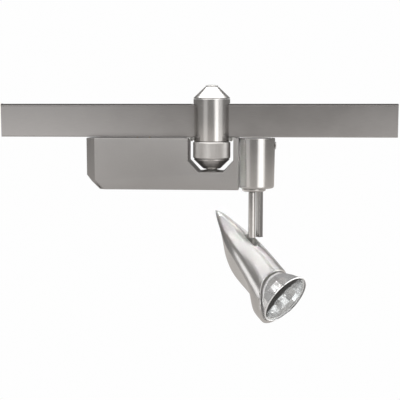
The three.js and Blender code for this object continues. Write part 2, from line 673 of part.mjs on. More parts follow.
// ---------- stem ----------
// The head's own frame: +X along the lamp axis, +Y along the tilt axis, +Z up from the lamp axis.
const PAN = THREE.MathUtils.degToRad(PAN_DEG);
const TILT = THREE.MathUtils.degToRad(TILT_DEG);
const FORWARD = new THREE.Vector3(Math.cos(TILT) * Math.cos(PAN), -Math.cos(TILT) * Math.sin(PAN), -Math.sin(TILT));
const SIDE = new THREE.Vector3(Math.sin(PAN), Math.cos(PAN), 0);
const UP = new THREE.Vector3().crossVectors(FORWARD, SIDE);
const HEAD_FRAME = new THREE.Matrix4().makeBasis(FORWARD, SIDE, UP).setPosition(RIM_CENTRE);
const PIVOT = new THREE.Vector3(PIVOT_ALONG, 0, PIVOT_UP).applyMatrix4(HEAD_FRAME);

// A square with cut corners, from half its width.
function squareOutline(half, corner) {
  const flat = half - corner;
  return [
    [half, flat], [flat, half], [-flat, half], [-half, flat], [-half, -flat], [-flat, -half], [flat, -half],
    [half, -flat],
  ];
}

const DISC_ROUND = 2.2;             // rounding of the disc's lower edge
const LOCK_NUT_R = 9.2;             // across its corners
const LOCK_NUT_T = 3.4;
const LOCK_NUT_LOW = CANOPY_BOTTOM + 5.0;

function buildStem() {
  const disc = turned([
    [0, DISC_BOTTOM], [DISC_R - DISC_ROUND, DISC_BOTTOM], [DISC_R - 0.6, DISC_BOTTOM + 0.6],
    [DISC_R, DISC_TOP - 0.8], [DISC_R - 0.2, DISC_TOP], [HUB_R, DISC_TOP], [HUB_R, HUB_TOP], [0, HUB_TOP],
  ]).translate(SWIVEL_X, 0, 0);
  addTo(fixture, 'swivel_disc', disc, 'satin');

  const nutBody = new THREE.CylinderGeometry(LOCK_NUT_R, LOCK_NUT_R, LOCK_NUT_T, 6).rotateX(Math.PI / 2);
  nutBody.translate(SWIVEL_X, 0, LOCK_NUT_LOW + LOCK_NUT_T / 2);
  const nutBore = upright(SWIVEL_X, 0, LOCK_NUT_LOW - 1, LOCK_NUT_LOW + 9, HUB_R + 0.15);
  addTo(fixture, 'hub_lock_nut', cut(nutBody, nutBore), 'brass');

  const rodTop = DISC_BOTTOM - GAP;
  addTo(fixture, 'stem_rod', upright(PIVOT.x, PIVOT.y, STEM_BOTTOM, rodTop, ROD_R, ROD_R, 32), 'satin');
  const tubeX = PIVOT.x + ROD_SPACING * SIDE.x;
  const tubeY = PIVOT.y + ROD_SPACING * SIDE.y;
  const tube = cut(
    extrudeXY(squareOutline(TUBE_HALF_W, TUBE_CORNER), STEM_BOTTOM, rodTop),
    extrudeXY(squareOutline(TUBE_HALF_W - TUBE_WALL, TUBE_CORNER / 2), STEM_BOTTOM - 1, rodTop - 2),
  );
  addTo(fixture, 'wire_tube', tube.rotateZ(-PAN).translate(tubeX, tubeY, 0), 'satin');

  const eye = new THREE.CylinderGeometry(LUG_R, LUG_R, LUG_HALF_T * 2, 28);
  const tongue = block([-LUG_R, -LUG_HALF_T, 0], [LUG_R, LUG_HALF_T, STEM_BOTTOM - GAP - PIVOT.z]);
  const pinHole = new THREE.CylinderGeometry(PIVOT_PIN_R + GAP, PIVOT_PIN_R + GAP, 20, 24);
  const lug = cut(join(eye, tongue), pinHole).rotateZ(-PAN).translate(PIVOT.x, PIVOT.y, PIVOT.z);
  addTo(fixture, 'pivot_lug', lug, 'steel');
}

// ---------- head ----------
function addHead(name, geometry, finish) {
  return addTo(fixture, name, geometry.clone().applyMatrix4(HEAD_FRAME), finish);
}

// A solid of revolution about the lamp axis; points are [radius, along].
function turnedAlong(points, sides = 40) {
  return turned(points, sides).rotateY(Math.PI / 2);
}

// Sections of the horn: [along, half width, height of the widest point, keel height].
const HORN = [
  [-113.0, 0.0, 20.6, 20.2],
  [-104.0, 5.2, 18.2, 12.9],
  [-91.0, 9.9, 13.9, 2.4],
  [-81.5, 13.2, 10.6, -8.3],
  [-71.0, 16.0, 7.9, -15.6],
  [-61.5, 17.8, 6.3, -19.3],
  [-50.5, 19.2, 3.7, -21.2],
  [-38.5, 20.5, 0.6, -22.6],
  [-27.0, 21.8, -2.7, -25.2],
  [-14.0, 23.2, -6.2, -29.6],
  [0.0, 23.6, -7.6, -31.0],
];
const ROUND_FROM = -14;             // forward of this the underside is fully round
const FLAT_TO = -36;                // behind this it is a flat-sided keel
const HORN_NOSE = 9;                // length of the solid nose behind the hollow

function smoothstep(low, high, value) {
  const x = Math.min(Math.max((value - low) / (high - low), 0), 1);
  return x * x * (3 - 2 * x);
}

// Smooth value of one column of HORN at a station along the axis.
function hornValue(along, column) {
  let i = 0;
  while (i < HORN.length - 2 && along > HORN[i + 1][0]) i += 1;
  const at = (k) => HORN[Math.min(Math.max(k, 0), HORN.length - 1)];
  const [p0, p1, p2, p3] = [at(i - 1), at(i), at(i + 1), at(i + 2)];
  const span = p2[0] - p1[0];
  const t = Math.min(Math.max((along - p1[0]) / span, 0), 1);
  const slope = (a, b) => (a === b ? 0 : ((b[column] - a[column]) / (b[0] - a[0])) * span);
  const m1 = slope(p0, p2);
  const m2 = slope(p1, p3);
  const t2 = t * t;
  const t3 = t2 * t;
  return (2 * t3 - 3 * t2 + 1) * p1[column] + (t3 - 2 * t2 + t) * m1
    + (-2 * t3 + 3 * t2) * p2[column] + (t3 - t2) * m2;
}

const MOUTH_TOP = -21.2;            // the mouth's edge at the ridge
const MOUTH_BOTTOM = -3.2;          // and at the lower lip
const MOUTH_FROM = 0.66;            // angles from the ridge between which it sweeps forward
const MOUTH_TO = 2.2;

// Where the mouth's edge lies, by the angle from the ridge.
function mouthAt(angle) {
  const fromRidge = Math.abs(angle > Math.PI ? angle - 2 * Math.PI : angle);
  return MOUTH_TOP + (MOUTH_BOTTOM - MOUTH_TOP) * smoothstep(MOUTH_FROM, MOUTH_TO, fromRidge);
}

// A point of the horn's surface, moved inwards by a wall thickness. A closed end has no radius.
function hornPoint(along, angle, wall, closed, target) {
  const centre = hornValue(along, 2);
  if (closed) return target.set(along, 0, centre);
  const radius = hornValue(along, 1) - wall;
  const drop = centre - hornValue(along, 3) - wall * 1.25;
  const sine = Math.sin(angle);
  const cosine = Math.cos(angle);
  if (cosine >= 0) return target.set(along, radius * sine, centre + radius * cosine);
  const flat = 0.92 * (1 - smoothstep(FLAT_TO, ROUND_FROM, along));
  const y = radius * (sine * (1 - flat) + Math.sign(sine) * sine * sine * flat);
  const z = centre - drop * (-cosine * (1 - flat) + cosine * cosine * flat);
  return target.set(along, y, z);
}

// One closed surface: along the inside to the mouth's edge, then back along the outside to the tip.
function hornSurface(u, v, target) {
  const angle = u >= 1 ? 0 : u * 2 * Math.PI;
  const mouth = mouthAt(angle);
  const inside = v <= 0.5;
  const step = inside ? v / 0.5 : (1 - v) / 0.5;
  const share = 0.5 * step + 0.5 * (1 - Math.cos(step * Math.PI / 2));
  const start = HORN[0][0] + (inside ? HORN_NOSE : 0);
  const along = start + (mouth - start) * Math.min(share, 1);
  return hornPoint(along, angle, inside ? SHELL_T : 0, step <= 0, target);
}

const SLOT_LOW = 12;                // the slot's cutter spans the shell's ridge
const SLOT_HIGH = 34;

function buildShell() {
  const surface = new ParametricGeometry(hornSurface, SHELL_AROUND, SHELL_ALONG * 2);
  const rear = SLOT_REAR + SLOT_HALF_W;
  const front = SLOT_FRONT - SLOT_HALF_W;
  const slot = join(
    block([rear, -SLOT_HALF_W, SLOT_LOW], [front, SLOT_HALF_W, SLOT_HIGH]),
    upright(rear, 0, SLOT_LOW, SLOT_HIGH, SLOT_HALF_W, SLOT_HALF_W, 24),
    upright(front, 0, SLOT_LOW, SLOT_HIGH, SLOT_HALF_W, SLOT_HALF_W, 24),
  );
  addHead('head_shell', cut(surface, slot), 'satin');
}

const PLATE_R = 17.0;               // the holder plate is part of a disc, cut down below its middle
const PLATE_UP = 3.6;
const PLATE_HALF_W = 16.8;
const PLATE_NARROW_FROM = 3.5;
const PLATE_NARROW_HALF_W = 9.5;
const PLATE_LOW = -6;
const PLATE_WIRE_HOLE_R = 3;
const PLATE_WIRE_HOLE_UP = -1;
const BRACKET_LOW = 9.0;            // underside of the bracket's web
const BRACKET_T = 1.8;
const BRACKET_HALF_LENGTH = 4;
const EAR_TOP = 20.8;
const FLANGE_HALF_W = 8;
const PIN_HEAD_R = 2.4;
const PIN_HEAD = 0.9;
const PIN_PROUD = 1.2;              // the pivot pin's ends stand out this far

function alongCylinder(radius, length) {
  return new THREE.CylinderGeometry(radius, radius, length, 24).rotateZ(Math.PI / 2);
}

function buildHeadFrame() {
  const plateFront = HOLDER_BACK - GAP;
  const plate = new THREE.CylinderGeometry(PLATE_R, PLATE_R, plateFront - PLATE_BACK, 48).rotateZ(Math.PI / 2);
  plate.translate((plateFront + PLATE_BACK) / 2, 0, PLATE_UP);
  const limits = join(
    block([PLATE_BACK - 1, -PLATE_HALF_W, PLATE_NARROW_FROM - 0.5], [HOLDER_BACK, PLATE_HALF_W, 30]),
    block([PLATE_BACK - 1, -PLATE_NARROW_HALF_W, PLATE_LOW], [HOLDER_BACK, PLATE_NARROW_HALF_W, PLATE_NARROW_FROM]),
  );
  const wireHole = alongCylinder(PLATE_WIRE_HOLE_R, 20).translate(PLATE_BACK, 0, PLATE_WIRE_HOLE_UP);
  addHead('holder_plate', cut(common(plate, limits), wireHole), 'steel');

  const low = PIVOT_ALONG - BRACKET_HALF_LENGTH;
  const high = PIVOT_ALONG + BRACKET_HALF_LENGTH;
  const back = PLATE_BACK - GAP;
  const webTop = BRACKET_LOW + BRACKET_T;
  const ears = [-1, 1].map((side) => {
    const [a, b] = [side * EAR_INNER, side * EAR_OUTER].sort((x, y) => x - y);
    return block([low, a, BRACKET_LOW], [high, b, EAR_TOP]);
  });
  const web = block([low, -EAR_OUTER, BRACKET_LOW], [back, EAR_OUTER, webTop]);
  const flange = block([back - BRACKET_T, -FLANGE_HALF_W, 0], [back, FLANGE_HALF_W, webTop]);
  const pinHole = new THREE.CylinderGeometry(PIVOT_PIN_R + GAP, PIVOT_PIN_R + GAP, 20, 24);
  pinHole.translate(PIVOT_ALONG, 0, PIVOT_UP);
  addHead('pivot_bracket', cut(join(web, flange, ...ears), pinHole), 'steel');

  const pin = new THREE.CylinderGeometry(PIVOT_PIN_R, PIVOT_PIN_R, 2 * (EAR_OUTER + PIN_PROUD), 24);
  const pinHead = new THREE.CylinderGeometry(PIN_HEAD_R, PIN_HEAD_R, PIN_HEAD, 24);
  pinHead.translate(0, EAR_OUTER + GAP + PIN_HEAD / 2, 0);
  addHead('pivot_pin', join(pin, pinHead).translate(PIVOT_ALONG, 0, PIVOT_UP), 'steel');
}

const HOLDER_HALF_W = 10;
const HOLDER_LOW = -5;
const HOLDER_HIGH = 6.5;
const SOCKET_FROM = 6.8;            // depth of the lamp pins' sockets
const HOLDER_SCREW_SIDE = 7.6;
const HOLDER_SCREW_R = 1.2;

function buildHolder() {
  const body = block([HOLDER_BACK, -HOLDER_HALF_W, HOLDER_LOW], [HOLDER_FRONT, HOLDER_HALF_W, HOLDER_HIGH]);
  const sockets = [-1, 1].map((s) => (
    alongCylinder(LAMP_PIN_R + GAP, 30).translate(HOLDER_FRONT + 15 - SOCKET_FROM, s * LAMP_PIN_SIDE, 0)
  ));
  const screwHoles = [-1, 1].map((s) => (
    alongCylinder(HOLDER_SCREW_R + GAP, 30).translate(HOLDER_FRONT, s * HOLDER_SCREW_SIDE, 0)
  ));
  addHead('lamp_holder', cut(body, ...sockets, ...screwHoles), 'ceramic');
  [-1, 1].forEach((s, i) => {
    const screw = alongCylinder(HOLDER_SCREW_R, HOLDER_FRONT - HOLDER_BACK - 2 * GAP);
    screw.translate((HOLDER_FRONT + HOLDER_BACK) / 2, s * HOLDER_SCREW_SIDE, 0);
    addHead(`holder_screw_${i + 1}`, screw, 'steel');
  });
}

// ---------- lamp ----------
// The reflector's outer bowl behind the rim: [radius, along].
const BOWL = [[23.6, -3.4], [21.2, -10], [18.7, -15], [16.0, -20], [13.3, -25], [10.7, -30], [9.2, LAMP_BACK]];
const GLASS_R = 23.7;
const GLASS_BACK = -1.5;
const SHELF_R = 21.4;               // the front glass rests on a flat shelf inside the rim
const SHELF_AT = -1.9;
const NECK_BORE_R = 5.4;
const CAPSULE_R = 4.6;
const CAPSULE_STEM_R = 3.4;
const CAPSULE_FRONT = -9.4;
const BASE_HALF_W = 8.2;
const BASE_HALF_H = 5.2;

function buildLamp() {
  const inner = BOWL.slice(1).reverse().map(([radius, along]) => [radius - LAMP_WALL, along]);
  const reflector = turnedAlong([
    [LAMP_R - 0.5, 0], [LAMP_R, -0.5], [LAMP_R - 0.2, -LAMP_RIM_T], ...BOWL,
    [NECK_BORE_R, LAMP_BACK], [NECK_BORE_R, LAMP_BACK + 2.5], ...inner.slice(1),
    [SHELF_R + 0.2, SHELF_AT - 1.7], [SHELF_R, SHELF_AT], [GLASS_R + 0.4, SHELF_AT], [GLASS_R + 0.4, 0],
    [LAMP_R - 0.5, 0],
  ].reverse(), 40);
  addHead('lamp_reflector', reflector, 'mirror');

  const glass = turnedAlong([
    [0, GLASS_BACK], [GLASS_R, GLASS_BACK], [GLASS_R, -0.5], [GLASS_R / 2, -0.2], [0, -0.1],
  ], 48);
  addHead('lamp_front_glass', glass, 'glass');

  const capsule = turnedAlong([
    [0, LAMP_BACK + 0.5], [CAPSULE_STEM_R, LAMP_BACK + 0.5], [CAPSULE_STEM_R, -26], [CAPSULE_R, -23.5],
    [CAPSULE_R, -14.5], [CAPSULE_R - 1, -12], [1.2, CAPSULE_FRONT - 1], [0, CAPSULE_FRONT],
  ], 28);
  addHead('lamp_capsule', capsule, 'glass');

  const base = block([BASE_BACK, -BASE_HALF_W, -BASE_HALF_H], [LAMP_BACK - GAP, BASE_HALF_W, BASE_HALF_H]);
  addHead('lamp_base', base, 'ceramic');
  [-1, 1].forEach((s, i) => {
    const pin = alongCylinder(LAMP_PIN_R, LAMP_PIN_LENGTH);
    pin.translate(BASE_BACK - GAP - LAMP_PIN_LENGTH / 2, s * LAMP_PIN_SIDE, 0);
    addHead(`lamp_pin_${i + 1}`, pin, 'steel');
  });
}

buildRail();
buildClamp();
buildHousing();
buildStrap();
buildContacts();
buildElectronics();
buildCanopy();
buildStem();
buildShell();
buildHeadFrame();
buildHolder();
buildLamp();

export default fixture;
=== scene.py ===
"""Looks for the rail spotlight: detailed pieces, materials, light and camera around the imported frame."""
import json
import math

import bmesh
import bpy
from mathutils import Matrix, Vector


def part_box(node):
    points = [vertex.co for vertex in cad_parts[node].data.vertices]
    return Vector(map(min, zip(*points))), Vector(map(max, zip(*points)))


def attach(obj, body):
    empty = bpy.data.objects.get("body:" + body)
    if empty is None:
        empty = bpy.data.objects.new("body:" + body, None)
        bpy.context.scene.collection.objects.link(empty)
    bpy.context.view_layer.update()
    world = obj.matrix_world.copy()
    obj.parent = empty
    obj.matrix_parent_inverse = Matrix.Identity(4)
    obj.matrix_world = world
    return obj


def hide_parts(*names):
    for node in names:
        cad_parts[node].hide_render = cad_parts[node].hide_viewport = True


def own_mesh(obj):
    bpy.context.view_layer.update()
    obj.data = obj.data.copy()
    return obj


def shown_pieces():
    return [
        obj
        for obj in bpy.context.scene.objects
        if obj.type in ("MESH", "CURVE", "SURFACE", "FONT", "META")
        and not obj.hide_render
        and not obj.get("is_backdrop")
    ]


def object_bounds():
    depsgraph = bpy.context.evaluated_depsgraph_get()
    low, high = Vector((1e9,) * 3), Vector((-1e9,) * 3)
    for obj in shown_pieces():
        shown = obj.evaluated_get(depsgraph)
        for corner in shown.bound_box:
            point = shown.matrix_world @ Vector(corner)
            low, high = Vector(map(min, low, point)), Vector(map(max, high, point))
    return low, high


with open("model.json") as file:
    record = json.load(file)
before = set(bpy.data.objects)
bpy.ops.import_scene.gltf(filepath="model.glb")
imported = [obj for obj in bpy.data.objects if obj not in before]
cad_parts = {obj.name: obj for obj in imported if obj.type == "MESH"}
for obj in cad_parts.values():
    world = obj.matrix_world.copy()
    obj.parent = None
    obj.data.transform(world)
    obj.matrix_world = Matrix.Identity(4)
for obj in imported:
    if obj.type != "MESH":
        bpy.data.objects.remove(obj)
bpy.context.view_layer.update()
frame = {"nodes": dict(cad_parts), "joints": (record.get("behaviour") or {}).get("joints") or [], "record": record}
MM = 0.001
CAD_NODES = frame["nodes"]
JOINTS = {joint["name"]: joint for joint in frame["joints"]}


# ---------------------------------------------------------------- mesh tools
def mesh_from(name, verts, faces):
    mesh = bpy.data.meshes.new(name)
    mesh.from_pydata([tuple(v) for v in verts], [], faces)
    mesh.update()
    return mesh


def finish_shading(mesh, sharp_deg=32.0):
    """Smooth faces, with the edges that turn more than sharp_deg kept sharp."""
    bm = bmesh.new()
    bm.from_mesh(mesh)
    bmesh.ops.remove_doubles(bm, verts=bm.verts, dist=1e-6)
    bmesh.ops.recalc_face_normals(bm, faces=bm.faces)
    limit = math.radians(sharp_deg)
    for face in bm.faces:
        face.smooth = True
    for edge in bm.edges:
        edge.smooth = len(edge.link_faces) == 2 and edge.calc_face_angle(0.0) < limit
    bm.to_mesh(mesh)
    bm.free()


def place(name, mesh, material, body, slot, *nodes, matrix=None):
    """Adds a finished piece: it rides on its body and stands for the CAD nodes named."""
    piece = bpy.data.objects.new(name, mesh)
    bpy.context.scene.collection.objects.link(piece)
    if matrix is not None:
        piece.matrix_world = matrix
        bpy.context.view_layer.update()
    if material is not None:
        mesh.materials.clear()
        mesh.materials.append(material)
    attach(piece, body)
    if nodes:
        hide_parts(*nodes)
    return piece


def temporary(mesh):
    piece = bpy.data.objects.new("temporary", mesh)
    bpy.context.scene.collection.objects.link(piece)
    return piece


def boolean(mesh, cutters):
    """The mesh with each cutter mesh taken out of it in turn."""
    base = temporary(mesh)
    tools = [temporary(cutter) for cutter in cutters]
    for tool in tools:
        step = base.modifiers.new("boolean", "BOOLEAN")
        step.operation = "DIFFERENCE"
        step.solver = "EXACT"
        step.object = tool
    bpy.context.view_layer.update()
    result = bpy.data.meshes.new_from_object(base.evaluated_get(bpy.context.evaluated_depsgraph_get()))
    for piece in [base, *tools]:
        bpy.data.objects.remove(piece)
    result.name = mesh.name
    return result


WELD = 2e-6


def round_edges(bm, edges, width, segments, clamp=True):
    bmesh.ops.bevel(
        bm, geom=edges, offset=width, segments=segments, profile=0.5, affect="EDGES", clamp_overlap=clamp,
    )


def bevelled(mesh, width, segments=3, from_deg=25.0, shortest=0.0, clamp=True):
    """The mesh with its coplanar faces merged, and its edges over from_deg and that length rounded."""
    bm = bmesh.new()
    bm.from_mesh(mesh)
    bmesh.ops.remove_doubles(bm, verts=bm.verts, dist=WELD)
    bmesh.ops.dissolve_limit(bm, angle_limit=math.radians(1.0), verts=bm.verts, edges=bm.edges)
    limit = math.radians(from_deg)
    edges = [
        e for e in bm.edges
        if len(e.link_faces) == 2 and e.calc_face_angle(0.0) > limit and e.calc_length() > shortest
    ]
    round_edges(bm, edges, width, segments, clamp)
    result = bpy.data.meshes.new(mesh.name)
    bm.to_mesh(result)
    bm.free()
    return result


def skin(rings, around, closed=False):
    """Faces from each ring of vertex numbers to the next. A ring of one vertex is a point."""
    faces = []
    for low, high in zip(rings, rings[1:] + rings[:1] if closed else rings[1:]):
        for k in range(around):
            n = (k + 1) % around
            corners = [low[k % len(low)], low[n % len(low)], high[n % len(high)], high[k % len(high)]]
            face = list(dict.fromkeys(corners))
            if len(face) > 2:
                faces.append(face)
    return faces


def even_rings(count, around):
    """The vertex numbers of rings that all have the same number of vertices."""
    return [range(i * around, (i + 1) * around) for i in range(count)]


def steps_to(degrees, count):
    return [math.radians(degrees * k / count) for k in range(count + 1)]


def arc(centre, reach, start_deg, end_deg, steps):
    """Points along part of an ellipse with that centre and those two half axes."""
    turns = [math.radians(start_deg + (end_deg - start_deg) * k / steps) for k in range(steps + 1)]
    return [(centre[0] + reach[0] * math.cos(t), centre[1] + reach[1] * math.sin(t)) for t in turns]


def lathe(name, profile, segments=96, origin=(0, 0, 0)):
    """A solid of revolution about +Z. profile is [(radius, height)] in mm, axis to axis or closed."""
    on_axis = profile[0][0] == 0 and profile[-1][0] == 0
    verts, rings = [], []
    for radius, height in profile:
        if radius == 0:
            rings.append([len(verts)])
            verts.append(Vector((0, 0, height)) * MM)
            continue
        ring = []
        for k in range(segments):
            angle = 2 * math.pi * k / segments
            ring.append(len(verts))
            verts.append(Vector((radius * math.cos(angle), radius * math.sin(angle), height)) * MM)
        rings.append(ring)
    faces = skin(rings, segments, not on_axis)
    return mesh_from(name, [v + Vector(origin) for v in verts], faces)


def cylinder(name, radius, low, high, segments, origin=(0, 0, 0)):
    return lathe(name, [(0, low), (radius, low), (radius, high), (0, high)], segments, origin)


def rounded(profile, radius, steps=4):
    """The profile with each corner off the axis replaced by a short arc of about that radius."""
    out = []
    for i, point in enumerate(profile):
        if point[0] == 0:
            out.append(point)
            continue
        here = Vector(point)
        before = Vector(profile[i - 1])
        after = Vector(profile[(i + 1) % len(profile)])
        reach = min(radius, (before - here).length * 0.45, (after - here).length * 0.45)
        start = here + (before - here).normalized() * reach
        end = here + (after - here).normalized() * reach
        for k in range(steps + 1):
            t = k / steps
            curve = start * (1 - t) ** 2 + here * 2 * t * (1 - t) + end * t ** 2
            out.append((curve.x, curve.y))
    return out


def prism(name, outline, low, high, axis="Z"):
    """An outline extruded between two stations, in mm: (y, z) for X, (x, z) for Y and (x, y) for Z."""
    spread = {
        "X": lambda a, b, h: (h, a, b),
        "Y": lambda a, b, h: (a, h, b),
        "Z": lambda a, b, h: (a, b, h),
    }[axis]
    count = len(outline)
    verts = [Vector(spread(a, b, h)) * MM for h in (low, high) for a, b in outline]
    faces = [list(range(count)), list(range(count, 2 * count))]
    faces += [[k, (k + 1) % count, count + (k + 1) % count, count + k] for k in range(count)]
    return mesh_from(name, verts, faces)


def box_mesh(name, low, high):
    outline = [(low[0], low[1]), (high[0], low[1]), (high[0], high[1]), (low[0], high[1])]
    return prism(name, outline, low[2], high[2])


def moved(mesh, matrix):
    mesh.transform(matrix)
    return mesh


# Turns that lay a shape made along +Z onto +X or +Y.
ONTO_X = Matrix.Rotation(math.radians(90), 4, "Y")
ONTO_Y = Matrix.Rotation(math.radians(-90), 4, "X")


# ---------------------------------------------------------------- material tools
class Nodes:
    """A material's node tree with short calls for the nodes this file uses."""

    def __init__(self, name, **fixed):
        self.material = bpy.data.materials.new(name)
        self.material.use_nodes = True
        self.tree = self.material.node_tree
        self.shader = self.tree.nodes["Principled BSDF"]
        for socket, value in fixed.items():
            self.shader.inputs[socket.replace("_", " ")].default_value = value
        self.place = self.add("ShaderNodeTexCoord").outputs["Object"]

    def add(self, kind, **settings):
        node = self.tree.nodes.new(kind)
        for key, value in settings.items():
            setattr(node, key, value)
        return node

    def link(self, source, target):
        self.tree.links.new(source, target)

    def stretched(self, scale):
        mapping = self.add("ShaderNodeMapping")
        mapping.inputs["Scale"].default_value = scale
        self.link(self.place, mapping.inputs["Vector"])
        return mapping.outputs["Vector"]

    def noise(self, vector, scale, detail=4.0, roughness=0.6):
        node = self.add("ShaderNodeTexNoise")
        node.inputs["Scale"].default_value = scale
        node.inputs["Detail"].default_value = detail
        node.inputs["Roughness"].default_value = roughness
        self.link(vector, node.inputs["Vector"])
        return node.outputs["Fac"]

    def ramp(self, factor, stops):
        node = self.add("ShaderNodeValToRGB")
        elements = node.color_ramp.elements
        while len(elements) < len(stops):
            elements.new(0.5)
        for element, (position, value) in zip(elements, stops):
            element.position = position
            element.color = (*value, 1) if isinstance(value, tuple) else (value, value, value, 1)
        self.link(factor, node.inputs["Fac"])
        return node.outputs["Color"]

    def math(self, operation, a, b):
        node = self.add("ShaderNodeMath", operation=operation)
        for socket, value in zip(node.inputs, (a, b)):
            if isinstance(value, (int, float)):
                socket.default_value = value
            else:
                self.link(value, socket)
        return node.outputs["Value"]

    def mix(self, factor, a, b):
        node = self.add("ShaderNodeMix", data_type="RGBA")
        self.link(factor, node.inputs[0])
        for socket, value in zip((node.inputs[6], node.inputs[7]), (a, b)):
            if isinstance(value, tuple):
                socket.default_value = (*value, 1)
            else:
                self.link(value, socket)
        return node.outputs[2]

    def bump(self, height, strength, distance):
        node = self.add("ShaderNodeBump")
        node.inputs["Strength"].default_value = strength
        node.inputs["Distance"].default_value = distance
        self.link(height, node.inputs["Height"])
        self.link(node.outputs["Normal"], self.shader.inputs["Normal"])

    def lighter_edges_and_corner_shade(self, dark, light, base):
        """base, a little lighter on edges and darker in corners, where the darkening is painted shade."""
        pointiness = self.add("ShaderNodeNewGeometry").outputs["Pointiness"]
        edge = self.ramp(pointiness, [(0.47, 0.0), (0.50, 0.5), (0.53, 1.0)])
        return self.multiply(base, self.mix(edge, dark, light))

    def multiply(self, a, b):
        node = self.add("ShaderNodeMix", data_type="RGBA", blend_type="MULTIPLY")
        node.inputs[0].default_value = 1.0
        self.link(a, node.inputs[6])
        self.link(b, node.inputs[7])
        return node.outputs[2]

    def drive(self, socket, factor, low, high):
        """The shader's socket runs from low to high over the usual range of a noise."""
        self.link(self.ramp(factor, [(0.3, low), (0.7, high)]), self.shader.inputs[socket])


def brushed(name, light, dark, roughness, grain, bump=0.06, metallic=1.0, spread=0.08, painted_shade_heights=None):
    """Metal with fine brushing. grain is the stretch of the noise: small along the brushing.
    The last argument is two heights, in metres, between which painted shade darkens the surface upwards."""
    n = Nodes(name, Metallic=metallic)
    lines = n.noise(n.stretched(grain), 1.0, 3.0, 0.55)
    cloud = n.noise(n.place, 38.0, 3.0, 0.5)
    blend = n.math("ADD", n.math("MULTIPLY", lines, 0.55), n.math("MULTIPLY", cloud, 0.45))
    colour = n.ramp(blend, [(0.3, dark), (0.7, light)])
    # Painted shade: the colour darkens towards the top, between the two heights.
    if painted_shade_heights:
        height = n.add("ShaderNodeSeparateXYZ")
        n.link(n.place, height.inputs[0])
        low, high = painted_shade_heights
        rise = n.math("DIVIDE", n.math("SUBTRACT", height.outputs[2], low), high - low)
        colour = n.multiply(colour, n.ramp(rise, [(0.0, 1.0), (0.85, 0.86)]))
    # Every brushed metal is a little lighter on edges and carries painted shade in its corners.
    n.link(n.lighter_edges_and_corner_shade((0.9, 0.9, 0.9), (1.04, 1.04, 1.04), colour), n.shader.inputs["Base Color"])
    n.drive("Roughness", blend, roughness - spread / 2, roughness + spread / 2)
    n.bump(lines, bump, 0.0002)
    return n.material


ALONG_X = (120.0, 5200.0, 5200.0)
ALONG_Z = (5200.0, 5200.0, 90.0)
ROUND_Z = (60.0, 60.0, 5200.0)
STEM_GRAIN = (1500.0, 1500.0, 60.0)
HEAD_GRAIN = (160.0, 2600.0, 2600.0)
PAINT_GRAIN = (900.0, 900.0, 900.0)
INSIDE_GRAIN = (400.0, 400.0, 400.0)
SATIN = brushed("satin_nickel", (0.61, 0.595, 0.58), (0.57, 0.555, 0.54), 0.24, ROUND_Z, 0.006)
KNURL = brushed("knurled_satin", (0.62, 0.605, 0.59), (0.55, 0.535, 0.52), 0.46, ROUND_Z, 0.01)
STEM_SATIN = brushed("stem_satin", (0.60, 0.585, 0.57), (0.56, 0.545, 0.53), 0.24, STEM_GRAIN, 0.006)
# The rail's colour carries painted shade, darker towards its top.
RAIL = brushed(
    "rail_satin", (0.46, 0.445, 0.438), (0.38, 0.367, 0.36), 0.38, ALONG_X, 0.02, painted_shade_heights=(-0.031, 0.0),
)
PAINT = brushed("housing_paint", (0.39, 0.377, 0.369), (0.355, 0.343, 0.335), 0.46, PAINT_GRAIN, 0.02, 0.75)
STEEL = brushed("plated_steel", (0.55, 0.54, 0.52), (0.45, 0.44, 0.42), 0.33, ALONG_Z)
HORN_SATIN = brushed(
    "head_satin", (0.64, 0.628, 0.616), (0.625, 0.613, 0.60), 0.25, HEAD_GRAIN, 0.001, 1.0, 0.03,
)
HORN_INSIDE = brushed("head_inside", (0.78, 0.765, 0.75), (0.68, 0.665, 0.65), 0.55, INSIDE_GRAIN, 0.02, 0.35)
BRASS = brushed("turned_brass", (0.72, 0.55, 0.27), (0.58, 0.43, 0.19), 0.3, ROUND_Z)
COPPER = brushed("drawn_copper", (0.70, 0.38, 0.22), (0.55, 0.27, 0.14), 0.35, ALONG_X)


def dull(name, light, dark, roughness, scale=600.0, bump=0.12):
    """Plastic, ceramic and board: a fine mottled surface."""
    n = Nodes(name)
    grain = n.noise(n.place, scale, 4.0, 0.6)
    cloud = n.noise(n.place, 60.0, 3.0, 0.5)
    n.drive("Base Color", cloud, dark, light)
    n.drive("Roughness", grain, roughness - 0.06, roughness + 0.06)
    n.bump(grain, bump, 0.00015)
    return n.material


PLASTIC = dull("black_plastic", (0.035, 0.035, 0.037), (0.022, 0.022, 0.024), 0.5)
BOARD = dull("board", (0.03, 0.14, 0.06), (0.02, 0.09, 0.04), 0.45)
CERAMIC = dull("ceramic", (0.82, 0.79, 0.72), (0.74, 0.71, 0.64), 0.62)


def clear_glass():
    n = Nodes("clear_glass", Roughness=0.02, IOR=1.47)
    n.shader.inputs["Transmission Weight"].default_value = 1.0
    ripple = n.noise(n.place, 220.0, 2.0, 0.4)
    n.drive("Base Color", ripple, (0.94, 0.96, 0.96), (0.985, 0.99, 0.99))
    n.bump(ripple, 0.02, 0.0002)
    return n.material


def mirror():
    n = Nodes("lamp_mirror", Metallic=0.8)
    haze = n.noise(n.place, 240.0, 3.0, 0.5)
    n.drive("Base Color", haze, (0.84, 0.845, 0.85), (0.92, 0.925, 0.93))
    n.drive("Roughness", haze, 0.07, 0.14)
    n.bump(haze, 0.03, 0.0002)
    return n.material


GLASS = clear_glass()
MIRROR = mirror()
FINISH = {
    "rail_metal": RAIL, "satin_nickel": SATIN, "housing_paint": PAINT, "steel": STEEL, "brass": BRASS,
    "copper": COPPER, "black_plastic": PLASTIC, "board": BOARD, "ceramic": CERAMIC, "lamp_mirror": MIRROR,
    "clear_glass": GLASS,
}
SLOT_OF = {part["node"]: part["material_slot"] for part in frame["record"]["subparts"]}
for node_name, cad_object in CAD_NODES.items():
    cad_object.data.materials.clear()
    cad_object.data.materials.append(FINISH[SLOT_OF[node_name]])


